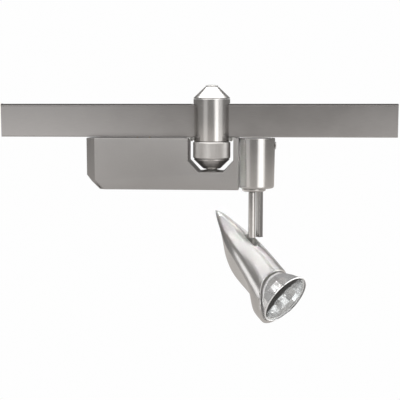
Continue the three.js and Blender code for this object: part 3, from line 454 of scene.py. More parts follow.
# ---------------------------------------------------------------- places read from the frame, in mm
def span(node):
    """Lowest and highest corner of a CAD node, in mm."""
    low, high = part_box(node)
    return Vector(low) / MM, Vector(high) / MM


def middle(node):
    low, high = span(node)
    return (low + high) / 2


FORWARD = Vector(JOINTS["lamp_pull"]["axis"]).normalized()
SIDE = Vector(JOINTS["head_tilt"]["axis"]).normalized()
UP = FORWARD.cross(SIDE)
PIVOT_ALONG, PIVOT_UP = -58.4, 18.8
PIVOT = Vector(JOINTS["head_tilt"]["pos_m"])
RIM_CENTRE = PIVOT - (FORWARD * PIVOT_ALONG + UP * PIVOT_UP) * MM
HEAD = Matrix.Translation(RIM_CENTRE) @ Matrix((FORWARD, SIDE, UP)).transposed().to_4x4()
PAN = math.atan2(SIDE.x, SIDE.y)


def from_cad(node, width=0.35, segments=2, shortest=2.0, from_deg=25.0, matrix=None):
    """The CAD node's shape with its long edges rounded, for parts whose form is plain plate or block."""
    mesh = bevelled(CAD_NODES[node].data, width * MM, segments, from_deg, shortest * MM, clamp=False)
    mesh.name = node + "_rounded"
    return mesh if matrix is None else moved(mesh, matrix.inverted())


def swept(name, points, radius, sides=10, closed=False):
    """Round wire of that radius along the points, in mm."""
    count = len(points)
    verts = []
    previous = None
    for i, point in enumerate(points):
        ahead = points[(i + 1) % count] if closed else points[min(i + 1, count - 1)]
        behind = points[(i - 1) % count] if closed else points[max(i - 1, 0)]
        direction = (Vector(ahead) - Vector(behind)).normalized()
        if previous is None:
            previous = direction.orthogonal().normalized()
        across = (previous - direction * previous.dot(direction)).normalized()
        previous = across
        other = direction.cross(across)
        for k in range(sides):
            angle = 2 * math.pi * k / sides
            verts.append((Vector(point) + (across * math.cos(angle) + other * math.sin(angle)) * radius) * MM)
    faces = skin(even_rings(count, sides), sides, closed)
    if not closed:
        faces.append(list(range(sides)))
        faces.append(list(range((count - 1) * sides, count * sides)))
    return mesh_from(name, verts, faces)


def merged(name, meshes):
    """Several closed meshes as one mesh of loose parts."""
    bm = bmesh.new()
    for mesh in meshes:
        bm.from_mesh(mesh)
    result = bpy.data.meshes.new(name)
    bm.to_mesh(result)
    bm.free()
    return result


# ---------------------------------------------------------------- rail
def rail_half():
    """Right half of the rail's section, from the top's middle down and round into the channel."""
    web, bead, bottom = 4.45, 4.8, -30.8
    channel, roof = 3.3, -21.8
    half = [(0.0, 0.0)]
    half += arc((bead - 2.3, -1.5), (2.3, 1.5), 90, 0, 8)
    half += [(bead, -1.75), (bead - 0.12, -2.05), (web, -2.3), (web, bottom + 1.6)]
    half += arc((web - 0.8, bottom + 1.2), (0.8, 1.2), 0, -90, 6)
    half += [(channel + 0.12, bottom), (channel, bottom + 0.15), (channel, roof - 0.3), (channel - 0.3, roof)]
    return half


def build_rail():
    right = rail_half()
    left = [(-y, z) for y, z in reversed(right[1:])]
    low, high = span("rail_profile")
    mesh = bevelled(prism("rail", right + left, low.x, high.x, "X"), 0.25 * MM, 2, 60.0)
    finish_shading(mesh, 28)
    place("rail_extrusion", mesh, RAIL, "rail", "rail_metal", "rail_profile")
    for node, material, slot_name in (
        ("rail_insulator", PLASTIC, "black_plastic"),
        ("conductor_live", COPPER, "copper"),
        ("conductor_neutral", COPPER, "copper"),
    ):
        mesh = from_cad(node, 0.15, 2, 1.0)
        finish_shading(mesh)
        place(node + "_strip", mesh, material, "rail", slot_name, node)


# ---------------------------------------------------------------- clamp and nut
SLEEVE_R, LEG_R, NUT_R, NUT_BORE_R = 17.0, 13.4, 17.4, 13.8
SLEEVE_TOP, SLEEVE_BOTTOM = 4.3, -34.5
KNURL_TEETH, KNURL_DEPTH = 96, 0.34


def build_clamp():
    leg_bottom = span("clamp_sleeve")[0].z
    thread = []
    height = leg_bottom
    while height < SLEEVE_BOTTOM - 1.0:
        thread += [(LEG_R - 0.35, height), (LEG_R, height + 0.35), (LEG_R, height + 0.65)]
        height += 1.0
    profile = [(0, leg_bottom), *thread, (LEG_R - 0.35, SLEEVE_BOTTOM)]
    profile += rounded([
        (LEG_R, SLEEVE_BOTTOM), (SLEEVE_R, SLEEVE_BOTTOM), (SLEEVE_R, SLEEVE_TOP), (0.01, SLEEVE_TOP),
    ], 0.45)[5:15]
    profile.append((0, SLEEVE_TOP))
    half_slot = 5.2
    slot = box_mesh("slot", (-40, -half_slot, -60), (40, half_slot, 0.3))
    bridge = box_mesh("bridge", (-5, -half_slot - 1, leg_bottom), (5, half_slot + 1, leg_bottom + 4))
    body = boolean(lathe("sleeve", profile, 144), [slot])
    body = merged("sleeve", [body, bridge])
    finish_shading(body, 24)
    place("clamp_sleeve_body", body, SATIN, "clamp", "satin_nickel", "clamp_sleeve")

    low, high = span("clamp_cap")
    cap = [
        (0, low.z), (16.6, low.z), (SLEEVE_R, low.z + 0.5), (SLEEVE_R - 0.2, low.z + 1.0), (6.4, high.z),
        (0, high.z),
    ]
    mesh = lathe("cap", rounded(cap, 0.5, 5), 128)
    finish_shading(mesh, 30)
    place("clamp_cap_cone", mesh, SATIN, "clamp", "satin_nickel", "clamp_cap")

    low, high = span("cap_button")
    button = [(0, low.z), (5.4, low.z), (6.0, low.z + 0.25)]
    button += arc((0, low.z + 0.3), (6.0, high.z - low.z - 0.3), 0, 90, 10)[:-1]
    mesh = lathe("button", [*button, (0, high.z)], 96)
    finish_shading(mesh, 30)
    place("cap_button_dome", mesh, STEEL, "clamp", "steel", "cap_button")


def build_nut():
    low, high = span("knurled_nut")
    edge = 0.75
    root = NUT_R - KNURL_DEPTH
    rings = [
        (NUT_BORE_R, low.z, 0), (root - edge, low.z, 0), (root - 0.12, low.z + edge, 0),
        (NUT_R, low.z + edge + 0.3, 1), (NUT_R, high.z - edge - 0.3, 1), (root - 0.12, high.z - edge, 0),
        (root - edge, high.z, 0), (NUT_BORE_R, high.z, 0),
    ]
    around = KNURL_TEETH * 4
    verts = []
    for radius, height, knurl in rings:
        for k in range(around):
            angle = 2 * math.pi * k / around
            r = radius - knurl * KNURL_DEPTH * (0.0, 0.5, 1.0, 0.5)[k % 4]
            verts.append(Vector((r * math.cos(angle), r * math.sin(angle), height)) * MM)
    mesh = mesh_from("nut", verts, skin(even_rings(len(rings), around), around, True))
    finish_shading(mesh, 22)
    place("knurled_nut_ring", mesh, KNURL, "nut", "satin_nickel", "knurled_nut")

    low, high = span("nut_cone")
    profile = [
        (0, low.z), (5.2, low.z), (5.2, low.z + 1.0), (8.0, low.z + 1.0), (16.6, high.z - 2.6),
        (16.6, high.z - 2.0), (13.4, high.z - 2.0), (13.4, high.z), (0, high.z),
    ]
    mesh = lathe("cone", rounded(profile, 0.35), 128)
    finish_shading(mesh, 30)
    place("nut_cone_body", mesh, SATIN, "nut", "satin_nickel", "nut_cone")

    low, high = span("thrust_washer")
    profile = [(0, low.z), (8.6, low.z), (8.6, low.z + 0.5), (6.9, high.z), (0, high.z)]
    mesh = lathe("washer", rounded(profile, 0.2), 96)
    finish_shading(mesh, 30)
    place("thrust_washer_disc", mesh, STEEL, "carriage", "steel", "thrust_washer")


# ---------------------------------------------------------------- strap and housing
EYE_R, EYE_BORE_R = 1.6, 0.95


def build_strap():
    low, high = span("mounting_strap")
    x_middle = (low.x + high.x) / 2
    half = high.y
    plate = bevelled(box_mesh("plate", (low.x, -half, high.z - 1.6), (high.x, half, high.z)), 0.3 * MM, 3)
    parts = [plate]
    for side in (-1, 1):
        eye = (x_middle + side * 18.2, -32.9)
        tube = prism("eye", arc(eye, (EYE_R, EYE_R), 0, 360, 32)[:-1], -half, half, "Y")
        bore = prism("bore", arc(eye, (EYE_BORE_R, EYE_BORE_R), 0, 360, 24)[:-1], -half - 1, half + 1, "Y")
        parts.append(bevelled(boolean(tube, [bore]), 0.15 * MM, 2, 60.0))
    mesh = merged("strap", parts)
    finish_shading(mesh, 30)
    place("mounting_strap_plate", mesh, STEEL, "carriage", "steel", "mounting_strap")


def build_housing():
    for node, width, shortest, name in (
        ("housing_shell", 0.45, 3.5, "housing_body"),
        ("housing_cover", 0.35, 3.0, "housing_back_cover"),
    ):
        mesh = from_cad(node, width, 3, shortest, 20.0)
        finish_shading(mesh, 30)
        place(name, mesh, PAINT, "carriage", "housing_paint", node)


def cross_screw(name, head_r, head, shank_r, shank):
    """A pan head on +Z with a cross recess, and a shank below."""
    profile = [
        (0, -shank), (shank_r * 0.7, -shank), (shank_r, -shank + 0.5), (shank_r, 0), (head_r, 0),
        (head_r, head * 0.45), (head_r * 0.86, head * 0.8), (head_r * 0.5, head * 0.97), (0, head),
    ]
    mesh = lathe(name, rounded(profile, 0.15, 3), 64)
    arm, deep = head_r * 0.13, head * 0.35
    cuts = [
        box_mesh("cut", (-head_r * 0.55, -arm, deep), (head_r * 0.55, arm, head + 1)),
        box_mesh("cut", (-arm, -head_r * 0.55, deep), (arm, head_r * 0.55, head + 1)),
    ]
    mesh = boolean(mesh, cuts)
    finish_shading(mesh, 30)
    return mesh


def build_screws():
    for number in (1, 2, 3):
        node = "cover_screw_%d" % number
        low, high = span(node)
        centre = (low + high) / 2
        mesh = cross_screw(node, 2.6, 1.3, 1.2, 5.0)
        seat = Vector((centre.x, high.y - 1.3, centre.z))
        moved(mesh, Matrix.Translation(seat * MM) @ ONTO_Y)
        place(node + "_head", mesh, STEEL, "carriage", "steel", node)
    for node, head_r, head, shank_r, shank in (
        ("canopy_screw", 3.6, 0.8, 1.5, 5.8),
        ("saddle_screw_1", 2.3, 1.8, 1.2, 5.2),
        ("saddle_screw_2", 2.3, 1.8, 1.2, 5.2),
    ):
        low, high = span(node)
        mesh = cross_screw(node, head_r, head, shank_r, shank)
        seat = Vector((high.x - head, 0, (low.z + high.z) / 2))
        moved(mesh, Matrix.Translation(seat * MM) @ ONTO_X)
        place(node + "_head", mesh, STEEL, "carriage", "steel", node)


def build_inside():
    """The plain blocks and plates inside the housing and the canopy."""
    for node, width, material, slot_name, body in (
        ("contact_carrier", 0.4, PLASTIC, "black_plastic", "carriage"),
        ("circuit_board", 0.2, BOARD, "board", "carriage"),
        ("terminal_block", 0.4, PLASTIC, "black_plastic", "carriage"),
        ("swivel_bush", 0.2, PLASTIC, "black_plastic", "carriage"),
        ("canopy_lid", 0.3, STEEL, "steel", "carriage"),
        ("hub_lock_nut", 0.35, BRASS, "brass", "stem"),
    ):
        mesh = from_cad(node, width, 3, 1.8)
        finish_shading(mesh, 30)
        place(node + "_part", mesh, material, body, slot_name, node)
    mesh = from_cad("transformer_core", 0.3, 2, 2.0)
    finish_shading(mesh, 30)
    place("transformer_core_stack", mesh, STEEL, "carriage", "steel", "transformer_core")


def build_winding():
    """The outer and inner layers of the winding in full, and the end turns of the layers between."""
    low, high = span("transformer_winding")
    wire, layers, corner = 0.55, 4, 1.2
    count = int((high.z - low.z) / (2 * wire))
    turns = []
    for layer in range(layers):
        inset_x, inset_y = wire + layer * 2 * wire, wire + layer * 2 * wire * 0.45
        x0, x1 = low.x + inset_x, high.x - inset_x
        y0, y1 = low.y + inset_y, high.y - inset_y
        for k in range(count):
            z = low.z + wire + k * 2 * wire
            if layer not in (0, layers - 1) and k not in (0, count - 1):
                continue
            path = []
            for cx, cy, start in (
                (x1 - corner, y1 - corner, 0), (x0 + corner, y1 - corner, 90),
                (x0 + corner, y0 + corner, 180), (x1 - corner, y0 + corner, 270),
            ):
                path += [(x, y, z) for x, y in arc((cx, cy), (corner, corner), start, start + 90, 2)]
            turns.append(swept("turn", path, wire * 0.98, 8, True))
    mesh = merged("winding", turns)
    finish_shading(mesh, 50)
    place("transformer_winding_turns", mesh, COPPER, "carriage", "copper", "transformer_winding")


def build_capacitor():
    profile = [(0, -6.0), (5, -6.0), (5, 4.6), (4.7, 5.0), (5, 5.4), (5, 6.0), (0, 6.0)]
    can = lathe("can", rounded(profile, 0.3, 3), 64)
    moved(can, Matrix.Translation(middle("capacitor") * MM) @ Matrix.Rotation(math.radians(90), 4, "X"))
    finish_shading(can, 30)
    place("capacitor_can", can, PLASTIC, "carriage", "black_plastic", "capacitor")


def build_contacts():
    """Each contact pin and the spring that pushes it up."""
    for name in ("live", "neutral"):
        low, high = span("contact_spring_" + name)
        centre = (low + high) / 2
        steps, turns_count, wire = 24, 4, 0.2
        path = []
        for k in range(steps * turns_count + 1):
            turn = 2 * math.pi * k / steps
            z = low.z + wire + (high.z - low.z - 2 * wire) * k / (steps * turns_count)
            path.append((centre.x + 1.1 * math.cos(turn), centre.y + 1.1 * math.sin(turn), z))
        mesh = swept("spring", path, wire, 10)
        finish_shading(mesh, 50)
        node = "contact_spring_" + name
        spring = place(node + "_coil", mesh, STEEL, "carriage", "steel", node)
        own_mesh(spring)

        low, high = span("contact_pin_" + name)
        centre = (low + high) / 2
        profile = [
            (0, low.z), (1.35, low.z), (1.35, low.z + 1.5), (0.6, low.z + 1.5), (0.6, high.z - 0.5),
            (0.42, high.z - 0.14), (0, high.z),
        ]
        mesh = lathe("pin", rounded(profile, 0.12, 3), 40, (centre.x * MM, centre.y * MM, 0))
        finish_shading(mesh, 35)
        place("contact_pin_%s_plunger" % name, mesh, BRASS, name + "_pin", "brass", "contact_pin_" + name)


# ---------------------------------------------------------------- canopy and stem
CANOPY_X, CANOPY_R, CANOPY_LOW_R = 41.9, 17.0, 16.4
LEAD_Z = -71.0
DISC_TOP = -78.5
TUBE_HALF, TUBE_BORE_HALF = 2.45, 1.65


def build_canopy():
    low, high = span("canopy_cup")
    swivel = JOINTS["stem_swivel"]["pos_m"][0]
    wall, floor_t = 1.8, 2.4
    profile = [
        (0, low.z), (CANOPY_LOW_R - 2.2, low.z), (CANOPY_LOW_R - 0.55, low.z + 0.45),
        (CANOPY_LOW_R, low.z + 1.9), (CANOPY_R, high.z), (CANOPY_R - wall, high.z),
        (CANOPY_LOW_R - wall, low.z + floor_t), (0, low.z + floor_t),
    ]
    cup = lathe("cup", rounded(profile, 0.5, 5), 144, (CANOPY_X * MM, 0, 0))
    cuts = [cylinder("hole", 7.6, low.z - 1, low.z + 5, 64, (swivel, 0, 0))]
    for x, z, radius, reach, segments in (
        (CANOPY_R, middle("canopy_screw").z, 1.9, 8, 40),
        (-CANOPY_R, LEAD_Z, 2.5, 6, 40),
        (-CANOPY_R, middle("saddle_screw_1").z, 1.5, 4, 32),
        (-CANOPY_R, middle("saddle_screw_2").z, 1.5, 4, 32),
    ):
        seat = Matrix.Translation(Vector((CANOPY_X + x, 0, z)) * MM)
        cuts.append(moved(cylinder("side_hole", radius, -reach, reach, segments), seat @ ONTO_X))
    mesh = boolean(cup, cuts)
    finish_shading(mesh, 30)
    place("canopy_cup_body", mesh, SATIN, "carriage", "satin_nickel", "canopy_cup")


def build_stem():
    low, high = span("swivel_disc")
    swivel = JOINTS["stem_swivel"]["pos_m"][0]
    profile = [
        (0, low.z), (9.4, low.z), (10.9, low.z + 0.6), (11.4, DISC_TOP - 0.7), (11.2, DISC_TOP),
        (5.6, DISC_TOP), (5.6, high.z), (0, high.z),
    ]
    mesh = lathe("disc", rounded(profile, 0.35, 4), 128, (swivel, 0, 0))
    finish_shading(mesh, 30)
    place("swivel_disc_body", mesh, SATIN, "stem", "satin_nickel", "swivel_disc")

    low, high = span("stem_rod")
    centre = (low + high) / 2
    profile = rounded([(0, low.z), (3.3, low.z), (3.3, high.z), (0, high.z)], 0.4)
    mesh = lathe("rod", profile, 96, (centre.x * MM, centre.y * MM, 0))
    finish_shading(mesh, 30)
    place("stem_rod_body", mesh, STEM_SATIN, "stem", "satin_nickel", "stem_rod")

    low, high = span("wire_tube")
    centre = (low + high) / 2
    half, inner = TUBE_HALF, TUBE_BORE_HALF
    outer = bevelled(box_mesh("outer", (-half, -half, low.z), (half, half, high.z)), 0.45 * MM, 4)
    bore = box_mesh("bore", (-inner, -inner, low.z - 5), (inner, inner, high.z - 2))
    bore = bevelled(bore, 0.25 * MM, 2)
    mesh = boolean(outer, [bore])
    moved(mesh, Matrix.Translation((centre.x * MM, centre.y * MM, 0)) @ Matrix.Rotation(-PAN, 4, "Z"))
    finish_shading(mesh, 30)
    place("wire_tube_square", mesh, STEM_SATIN, "stem", "satin_nickel", "wire_tube")

    mesh = from_cad("pivot_lug", 0.3, 3, 1.5)
    finish_shading(mesh, 30)
    place("pivot_lug_tongue", mesh, STEEL, "stem", "steel", "pivot_lug")


# ---------------------------------------------------------------- head shell
# Sections of the horn: along, half width, height of the widest point, keel height.
HORN = [
    (-113.0, 0.0, 20.6, 20.2), (-104.0, 5.2, 18.2, 12.9), (-91.0, 9.9, 13.9, 2.4),
    (-81.5, 13.2, 10.6, -8.3), (-71.0, 16.0, 7.9, -15.6), (-61.5, 17.8, 6.3, -19.3),
    (-50.5, 19.2, 3.7, -21.2), (-38.5, 20.5, 0.6, -22.6), (-27.0, 21.8, -2.7, -25.2),
    (-14.0, 23.2, -6.2, -29.6), (0.0, 23.6, -7.6, -31.0),
]
ROUND_FROM, FLAT_TO = -14.0, -36.0
SHELL_T = 1.5
LIP_T = 2.7
HORN_NOSE = 9.0
MOUTH_TOP, MOUTH_BOTTOM, MOUTH_FROM, MOUTH_TO = -21.2, -3.2, 0.66, 2.2


def smoothstep(low, high, value):
    x = min(max((value - low) / (high - low), 0.0), 1.0)
    return x * x * (3 - 2 * x)


def horn_value(along, column):
    i = 0
    while i < len(HORN) - 2 and along > HORN[i + 1][0]:
        i += 1
    p0, p1, p2, p3 = (HORN[min(max(k, 0), len(HORN) - 1)] for k in (i - 1, i, i + 1, i + 2))
    length = p2[0] - p1[0]
    t = min(max((along - p1[0]) / length, 0.0), 1.0)

    def slope(a, b):
        return 0.0 if a == b else (b[column] - a[column]) / (b[0] - a[0]) * length

    m1, m2 = slope(p0, p2), slope(p1, p3)
    t2, t3 = t * t, t * t * t
    first = (2 * t3 - 3 * t2 + 1) * p1[column] + (t3 - 2 * t2 + t) * m1
    return first + (-2 * t3 + 3 * t2) * p2[column] + (t3 - t2) * m2


def mouth_at(angle):
    from_ridge = abs(angle - 2 * math.pi if angle > math.pi else angle)
    return MOUTH_TOP + (MOUTH_BOTTOM - MOUTH_TOP) * smoothstep(MOUTH_FROM, MOUTH_TO, from_ridge)


def horn_point(along, angle, wall, closed):
    centre = horn_value(along, 2)
    if closed:
        return Vector((along, 0, centre))
    radius = horn_value(along, 1) - wall
    drop = centre - horn_value(along, 3) - wall * 1.25
    sine, cosine = math.sin(angle), math.cos(angle)
    if cosine >= 0:
        return Vector((along, radius * sine, centre + radius * cosine))
    flat = 0.92 * (1 - smoothstep(FLAT_TO, ROUND_FROM, along))
    y = radius * (sine * (1 - flat) + math.copysign(1, sine) * sine * sine * flat)
    z = centre - drop * (-cosine * (1 - flat) + cosine * cosine * flat)
    return Vector((along, y, z))


def horn_mesh(around, steps):
    """One closed surface: the outside from the tip to the mouth, round its lip, and back along the inside."""
    lip = 5
    verts, rings = [], []

    def ring(point_at, closed=False):
        if closed:
            rings.append([len(verts)])
            verts.append(point_at(0.0) * MM)
            return
        rings.append(list(range(len(verts), len(verts) + around)))
        verts.extend(point_at(2 * math.pi * k / around) * MM for k in range(around))

    def share(step):
        return 0.5 * step + 0.5 * (1 - math.cos(step * math.pi / 2))

    for i in range(steps + 1):
        t = share(i / steps)
        start = HORN[0][0]
        ring(lambda a: horn_point(start + (mouth_at(a) - SHELL_T / 2 - start) * t, a, 0.0, i == 0), i == 0)
    for i in range(1, lip):
        turn = math.pi * i / lip
        out = LIP_T / 2 * (1 - math.cos(turn))
        ring(lambda a: horn_point(mouth_at(a) - SHELL_T / 2 * (1 - math.sin(turn)), a, out, False))
    for i in range(steps, -1, -1):
        t = share(i / steps)
        start = HORN[0][0] + HORN_NOSE
        wall = SHELL_T + (LIP_T - SHELL_T) * smoothstep(0.93, 1.0, t)
        ring(lambda a: horn_point(start + (mouth_at(a) - SHELL_T / 2 - start) * t, a, wall, i == 0), i == 0)
    faces = skin(rings, around)
    mesh = mesh_from("horn", verts, faces)
    mesh.materials.append(HORN_SATIN)
    mesh.materials.append(HORN_INSIDE)
    last_of_lip, first_inside = rings[steps + lip], rings[steps + lip + 1]
    inside_from = faces.index([last_of_lip[0], last_of_lip[1], first_inside[1], first_inside[0]])
    for face in list(mesh.polygons)[inside_from:]:
        face.material_index = 1
    return mesh


SLOT_REAR, SLOT_FRONT, SLOT_HALF_W = -69.4, -50.4, 4.8


def slot_outline():
    half = SLOT_HALF_W
    rear, front = SLOT_REAR + half, SLOT_FRONT - half
    turns = steps_to(180, 20)
    nose = [(front + half * math.sin(t), -half * math.cos(t)) for t in turns]
    tail = [(rear - half * math.sin(t), half * math.cos(t)) for t in turns]
    return nose + tail


def build_shell():
    mesh = boolean(horn_mesh(128, 84), [prism("slot", slot_outline(), 12, 34)])
    bm = bmesh.new()
    bm.from_mesh(mesh)
    bmesh.ops.remove_doubles(bm, verts=bm.verts, dist=WELD)
    limit = math.radians(50)
    rim = []
    for edge in bm.edges:
        if len(edge.link_faces) != 2 or edge.calc_face_angle(0.0) < limit:
            continue
        spot = (edge.verts[0].co + edge.verts[1].co) / 2 / MM
        if SLOT_REAR - 1 < spot.x < SLOT_FRONT + 1 and abs(spot.y) < SLOT_HALF_W + 0.5 and spot.z > 12:
            rim.append(edge)
    round_edges(bm, rim, 0.35 * MM, 3)
    bm.to_mesh(mesh)
    bm.free()
    finish_shading(mesh, 14)
    place("head_shell_horn", mesh, None, "head", "satin_nickel", "head_shell", matrix=HEAD)


# ---------------------------------------------------------------- inside the head, and the lamp
def faceted(name, profile, around=144):
    """A closed solid of revolution about +X. profile is [(radius, along, facets)]; facets 0 is round.
    A fourth value turns a row of facets by that share of a facet."""
    verts = []
    for radius, along, facets, *phase in profile:
        for k in range(around):
            angle = 2 * math.pi * k / around
            r = radius
            if facets:
                wedge = 2 * math.pi / facets
                turned_by = phase[0] * wedge if phase else 0.0
                r = radius * math.cos(wedge / 2) / math.cos(((angle + turned_by) % wedge) - wedge / 2)
            verts.append(Vector((along, r * math.cos(angle), r * math.sin(angle))) * MM)
    return mesh_from(name, verts, skin(even_rings(len(profile), around), around, True))


BOWL = [(23.6, -3.4), (21.2, -10), (18.7, -15), (16.0, -20), (13.3, -25), (10.7, -30), (9.2, -33)]


def build_lamp():
    outside, inside = 36, 24
    profile = [
        (24.7, 0, 0), (25.0, -0.12, 0), (25.2, -0.5, 0), (25.1, -1.2, 0), (24.7, -1.6, 0), (24.0, -2.2, 0),
    ]
    profile += [(radius, along, outside) for radius, along in BOWL]
    profile += [(5.4, -33, 0), (5.4, -30.5, 0), (7.6, -30.5, 0)]
    # Inside, each row of facets is turned by half a facet from the last, over a small step.
    rows = [
        (7.7, -30.3), (9.9, -28.4), (12.0, -25.0), (14.0, -21.4), (15.9, -17.8), (17.6, -14.2), (19.2, -10.8),
        (20.6, -7.4),
    ]
    for i, (radius, along) in enumerate(rows):
        if i:
            profile.append((radius - 0.1, along - 0.12, inside, 0.5 * ((i - 1) % 2)))
        profile.append((radius, along, inside, 0.5 * (i % 2)))
    profile += [(21.4, -3.6, 0), (21.4, -1.9, 0), (24.1, -1.9, 0), (24.1, -0.1, 0), (24.25, 0, 0)]
    mesh = faceted("reflector", profile)
    finish_shading(mesh, 4)
    place("lamp_reflector_bowl", mesh, MIRROR, "lamp", "lamp_mirror", "lamp_reflector", matrix=HEAD)

    profile = [(0, -1.5), (23.7, -1.5), (23.7, -0.5), (12, -0.2), (0, -0.1)]
    glass = lathe("glass", rounded(profile, 0.2, 3), 128)
    moved(glass, ONTO_X)
    finish_shading(glass, 30)
    place("lamp_front_glass_disc", glass, GLASS, "lamp", "clear_glass", "lamp_front_glass", matrix=HEAD)


def build_capsule():
    """The quartz bulb with its filament."""
    outer = [
        (3.4, -32.4), (3.4, -26.4), (3.7, -25.2), (4.3, -24.2), (4.6, -23.0), (4.6, -15.0), (4.5, -13.6),
        (4.0, -12.4), (3.2, -11.5), (2.2, -10.8), (1.3, -10.2), (0.8, -9.7), (0, -9.4),
    ]
    inner = [(0, -10.3), *[(max(radius - 0.5, 0.4), along - 0.3) for radius, along in reversed(outer[1:-1])]]
    bulb = lathe("bulb", [*outer, *inner, (2.9, -32.4)], 64)
    moved(bulb, ONTO_X)
    finish_shading(bulb, 50)
    place("lamp_capsule_bulb", bulb, GLASS, "lamp", "clear_glass", "lamp_capsule", matrix=HEAD)

    coil = []
    for k in range(161):
        turn = 2 * math.pi * k / 16
        coil.append((-19.0 + 0.45 * math.cos(turn), -2.0 + 4.0 * k / 160, 0.45 * math.sin(turn)))
    wires = [swept("coil", coil, 0.12, 6)]
    for side in (-1, 1):
        lead = [(-31.5, side * 1.6, 0), (-26, side * 1.6, 0), (-22, side * 1.9, 0), (-19.2, side * 2.0, 0.3)]
        wires.append(swept("lead", lead, 0.22, 8))
    mesh = merged("filament", wires)
    finish_shading(mesh, 40)
    place("lamp_filament", mesh, STEEL, "lamp", "steel", matrix=HEAD)


def build_lamp_base():
    low, high = -41.0, -33.3
    base = bevelled(box_mesh("base", (low, -8.2, -5.2), (high, 8.2, 5.2)), 0.8 * MM, 4)
    notch = [box_mesh("notch", (low - 1, s * 5.6 - 0.9, -6), (low + 2.2, s * 5.6 + 0.9, 6)) for s in (-1, 1)]
    base = bevelled(boolean(base, notch), 0.12 * MM, 2, 60.0)
    finish_shading(base, 30)
    place("lamp_base_block", base, CERAMIC, "lamp", "ceramic", "lamp_base", matrix=HEAD)
    end = -41.3
    for number, side in ((1, -1), (2, 1)):
        pin = lathe("pin", rounded([(0, end - 6.3), (0.75, end - 6.3), (0.75, end), (0, end)], 0.3), 40)
        moved(pin, Matrix.Translation((0, side * 2.65 * MM, 0)) @ ONTO_X)
        finish_shading(pin, 30)
        node = "lamp_pin_%d" % number
        place(node + "_rod", pin, STEEL, "lamp", "steel", node, matrix=HEAD)


def build_head_frame():
    for node, width, material, slot_name in (
        ("holder_plate", 0.3, STEEL, "steel"),
        ("pivot_bracket", 0.3, STEEL, "steel"),
        ("lamp_holder", 0.5, CERAMIC, "ceramic"),
    ):
        mesh = from_cad(node, width, 3, 1.5, matrix=HEAD)
        finish_shading(mesh, 30)
        place(node + "_part", mesh, material, "head", slot_name, node, matrix=HEAD)
    profile = [(0, -5.6), (1.4, -5.6), (1.4, 4.7), (2.4, 4.7), (2.4, 5.6), (0, 5.6)]
    pin = lathe("pin", rounded(profile, 0.2, 3), 64)
    moved(pin, Matrix.Translation((PIVOT_ALONG * MM, 0, PIVOT_UP * MM)) @ ONTO_Y)
    finish_shading(pin, 30)
    place("pivot_pin_rivet", pin, STEEL, "head", "steel", "pivot_pin", matrix=HEAD)
    for number, side in ((1, -1), (2, 1)):
        node = "holder_screw_%d" % number
        screw = lathe("screw", rounded([(0, -49.3), (1.2, -49.3), (1.2, -41.8), (0, -41.8)], 0.2, 3), 40)
        slot = box_mesh("slot", (-2, -0.25, -42.4), (2, 0.25, -41))
        screw = boolean(screw, [slot])
        moved(screw, Matrix.Translation((0, side * 7.6 * MM, 0)) @ ONTO_X)
        finish_shading(screw, 30)
        place(node + "_body", screw, STEEL, "head", "steel", node, matrix=HEAD)


build_rail()
build_clamp()
build_nut()
build_strap()
build_housing()
build_screws()
build_inside()
build_winding()
build_capacitor()
build_contacts()
build_canopy()
build_stem()
build_shell()
build_lamp()
build_capsule()
build_lamp_base()
build_head_frame()


# ---------------------------------------------------------------- stage, light and camera
PAPER_WHITE = (0.99, 0.99, 0.99)
ROOM_GREY = (0.24, 0.235, 0.23)
FLOOR_GREY = (0.62, 0.595, 0.57)
FLOOR_DROP, FLOOR_HALF = 0.35, 6.0
OBJECT_MIDDLE = (0.0, 0.0, -0.09)


def aim(obj, target):
    direction = Vector(target) - obj.location
    obj.rotation_euler = direction.to_track_quat("-Z", "Y").to_euler()


def add_camera():
    data = bpy.data.cameras.new("camera")
    data.lens = 77.2
    data.sensor_width = 36.0
    camera = bpy.data.objects.new("camera", data)
    bpy.context.scene.collection.objects.link(camera)
    camera.location = (0.048, -0.8, 0.0)
    aim(camera, (-0.011, 0.0, -0.090))
    bpy.context.scene.camera = camera


def area_light(name, location, size, radiance, target=OBJECT_MIDDLE):
    data = bpy.data.lights.new(name, "AREA")
    data.shape = "RECTANGLE"
    data.size, data.size_y = size
    data.energy = radiance * size[0] * size[1] * math.pi
    light = bpy.data.objects.new(name, data)
    bpy.context.scene.collection.objects.link(light)
    light.location = location
    aim(light, target)
    return light


def seen_or_reflected(tree, output, seen_colour, reflected_colour, kind):
    """Camera rays see one plain brightness, and reflections see another."""
    shaders = []
    for colour in (reflected_colour, seen_colour):
        shader = tree.nodes.new(kind)
        shader.inputs["Color"].default_value = (*colour, 1)
        shaders.append(shader)
    path = tree.nodes.new("ShaderNodeLightPath")
    mixer = tree.nodes.new("ShaderNodeMixShader")
    tree.links.new(path.outputs["Is Camera Ray"], mixer.inputs["Fac"])
    tree.links.new(shaders[0].outputs[0], mixer.inputs[1])
    tree.links.new(shaders[1].outputs[0], mixer.inputs[2])
    tree.links.new(mixer.outputs["Shader"], output.inputs["Surface"])


def add_world():
    world = bpy.data.worlds.new("studio")
    bpy.context.scene.world = world
    world.use_nodes = True
    output = world.node_tree.nodes["World Output"]
    seen_or_reflected(world.node_tree, output, PAPER_WHITE, ROOM_GREY, "ShaderNodeBackground")


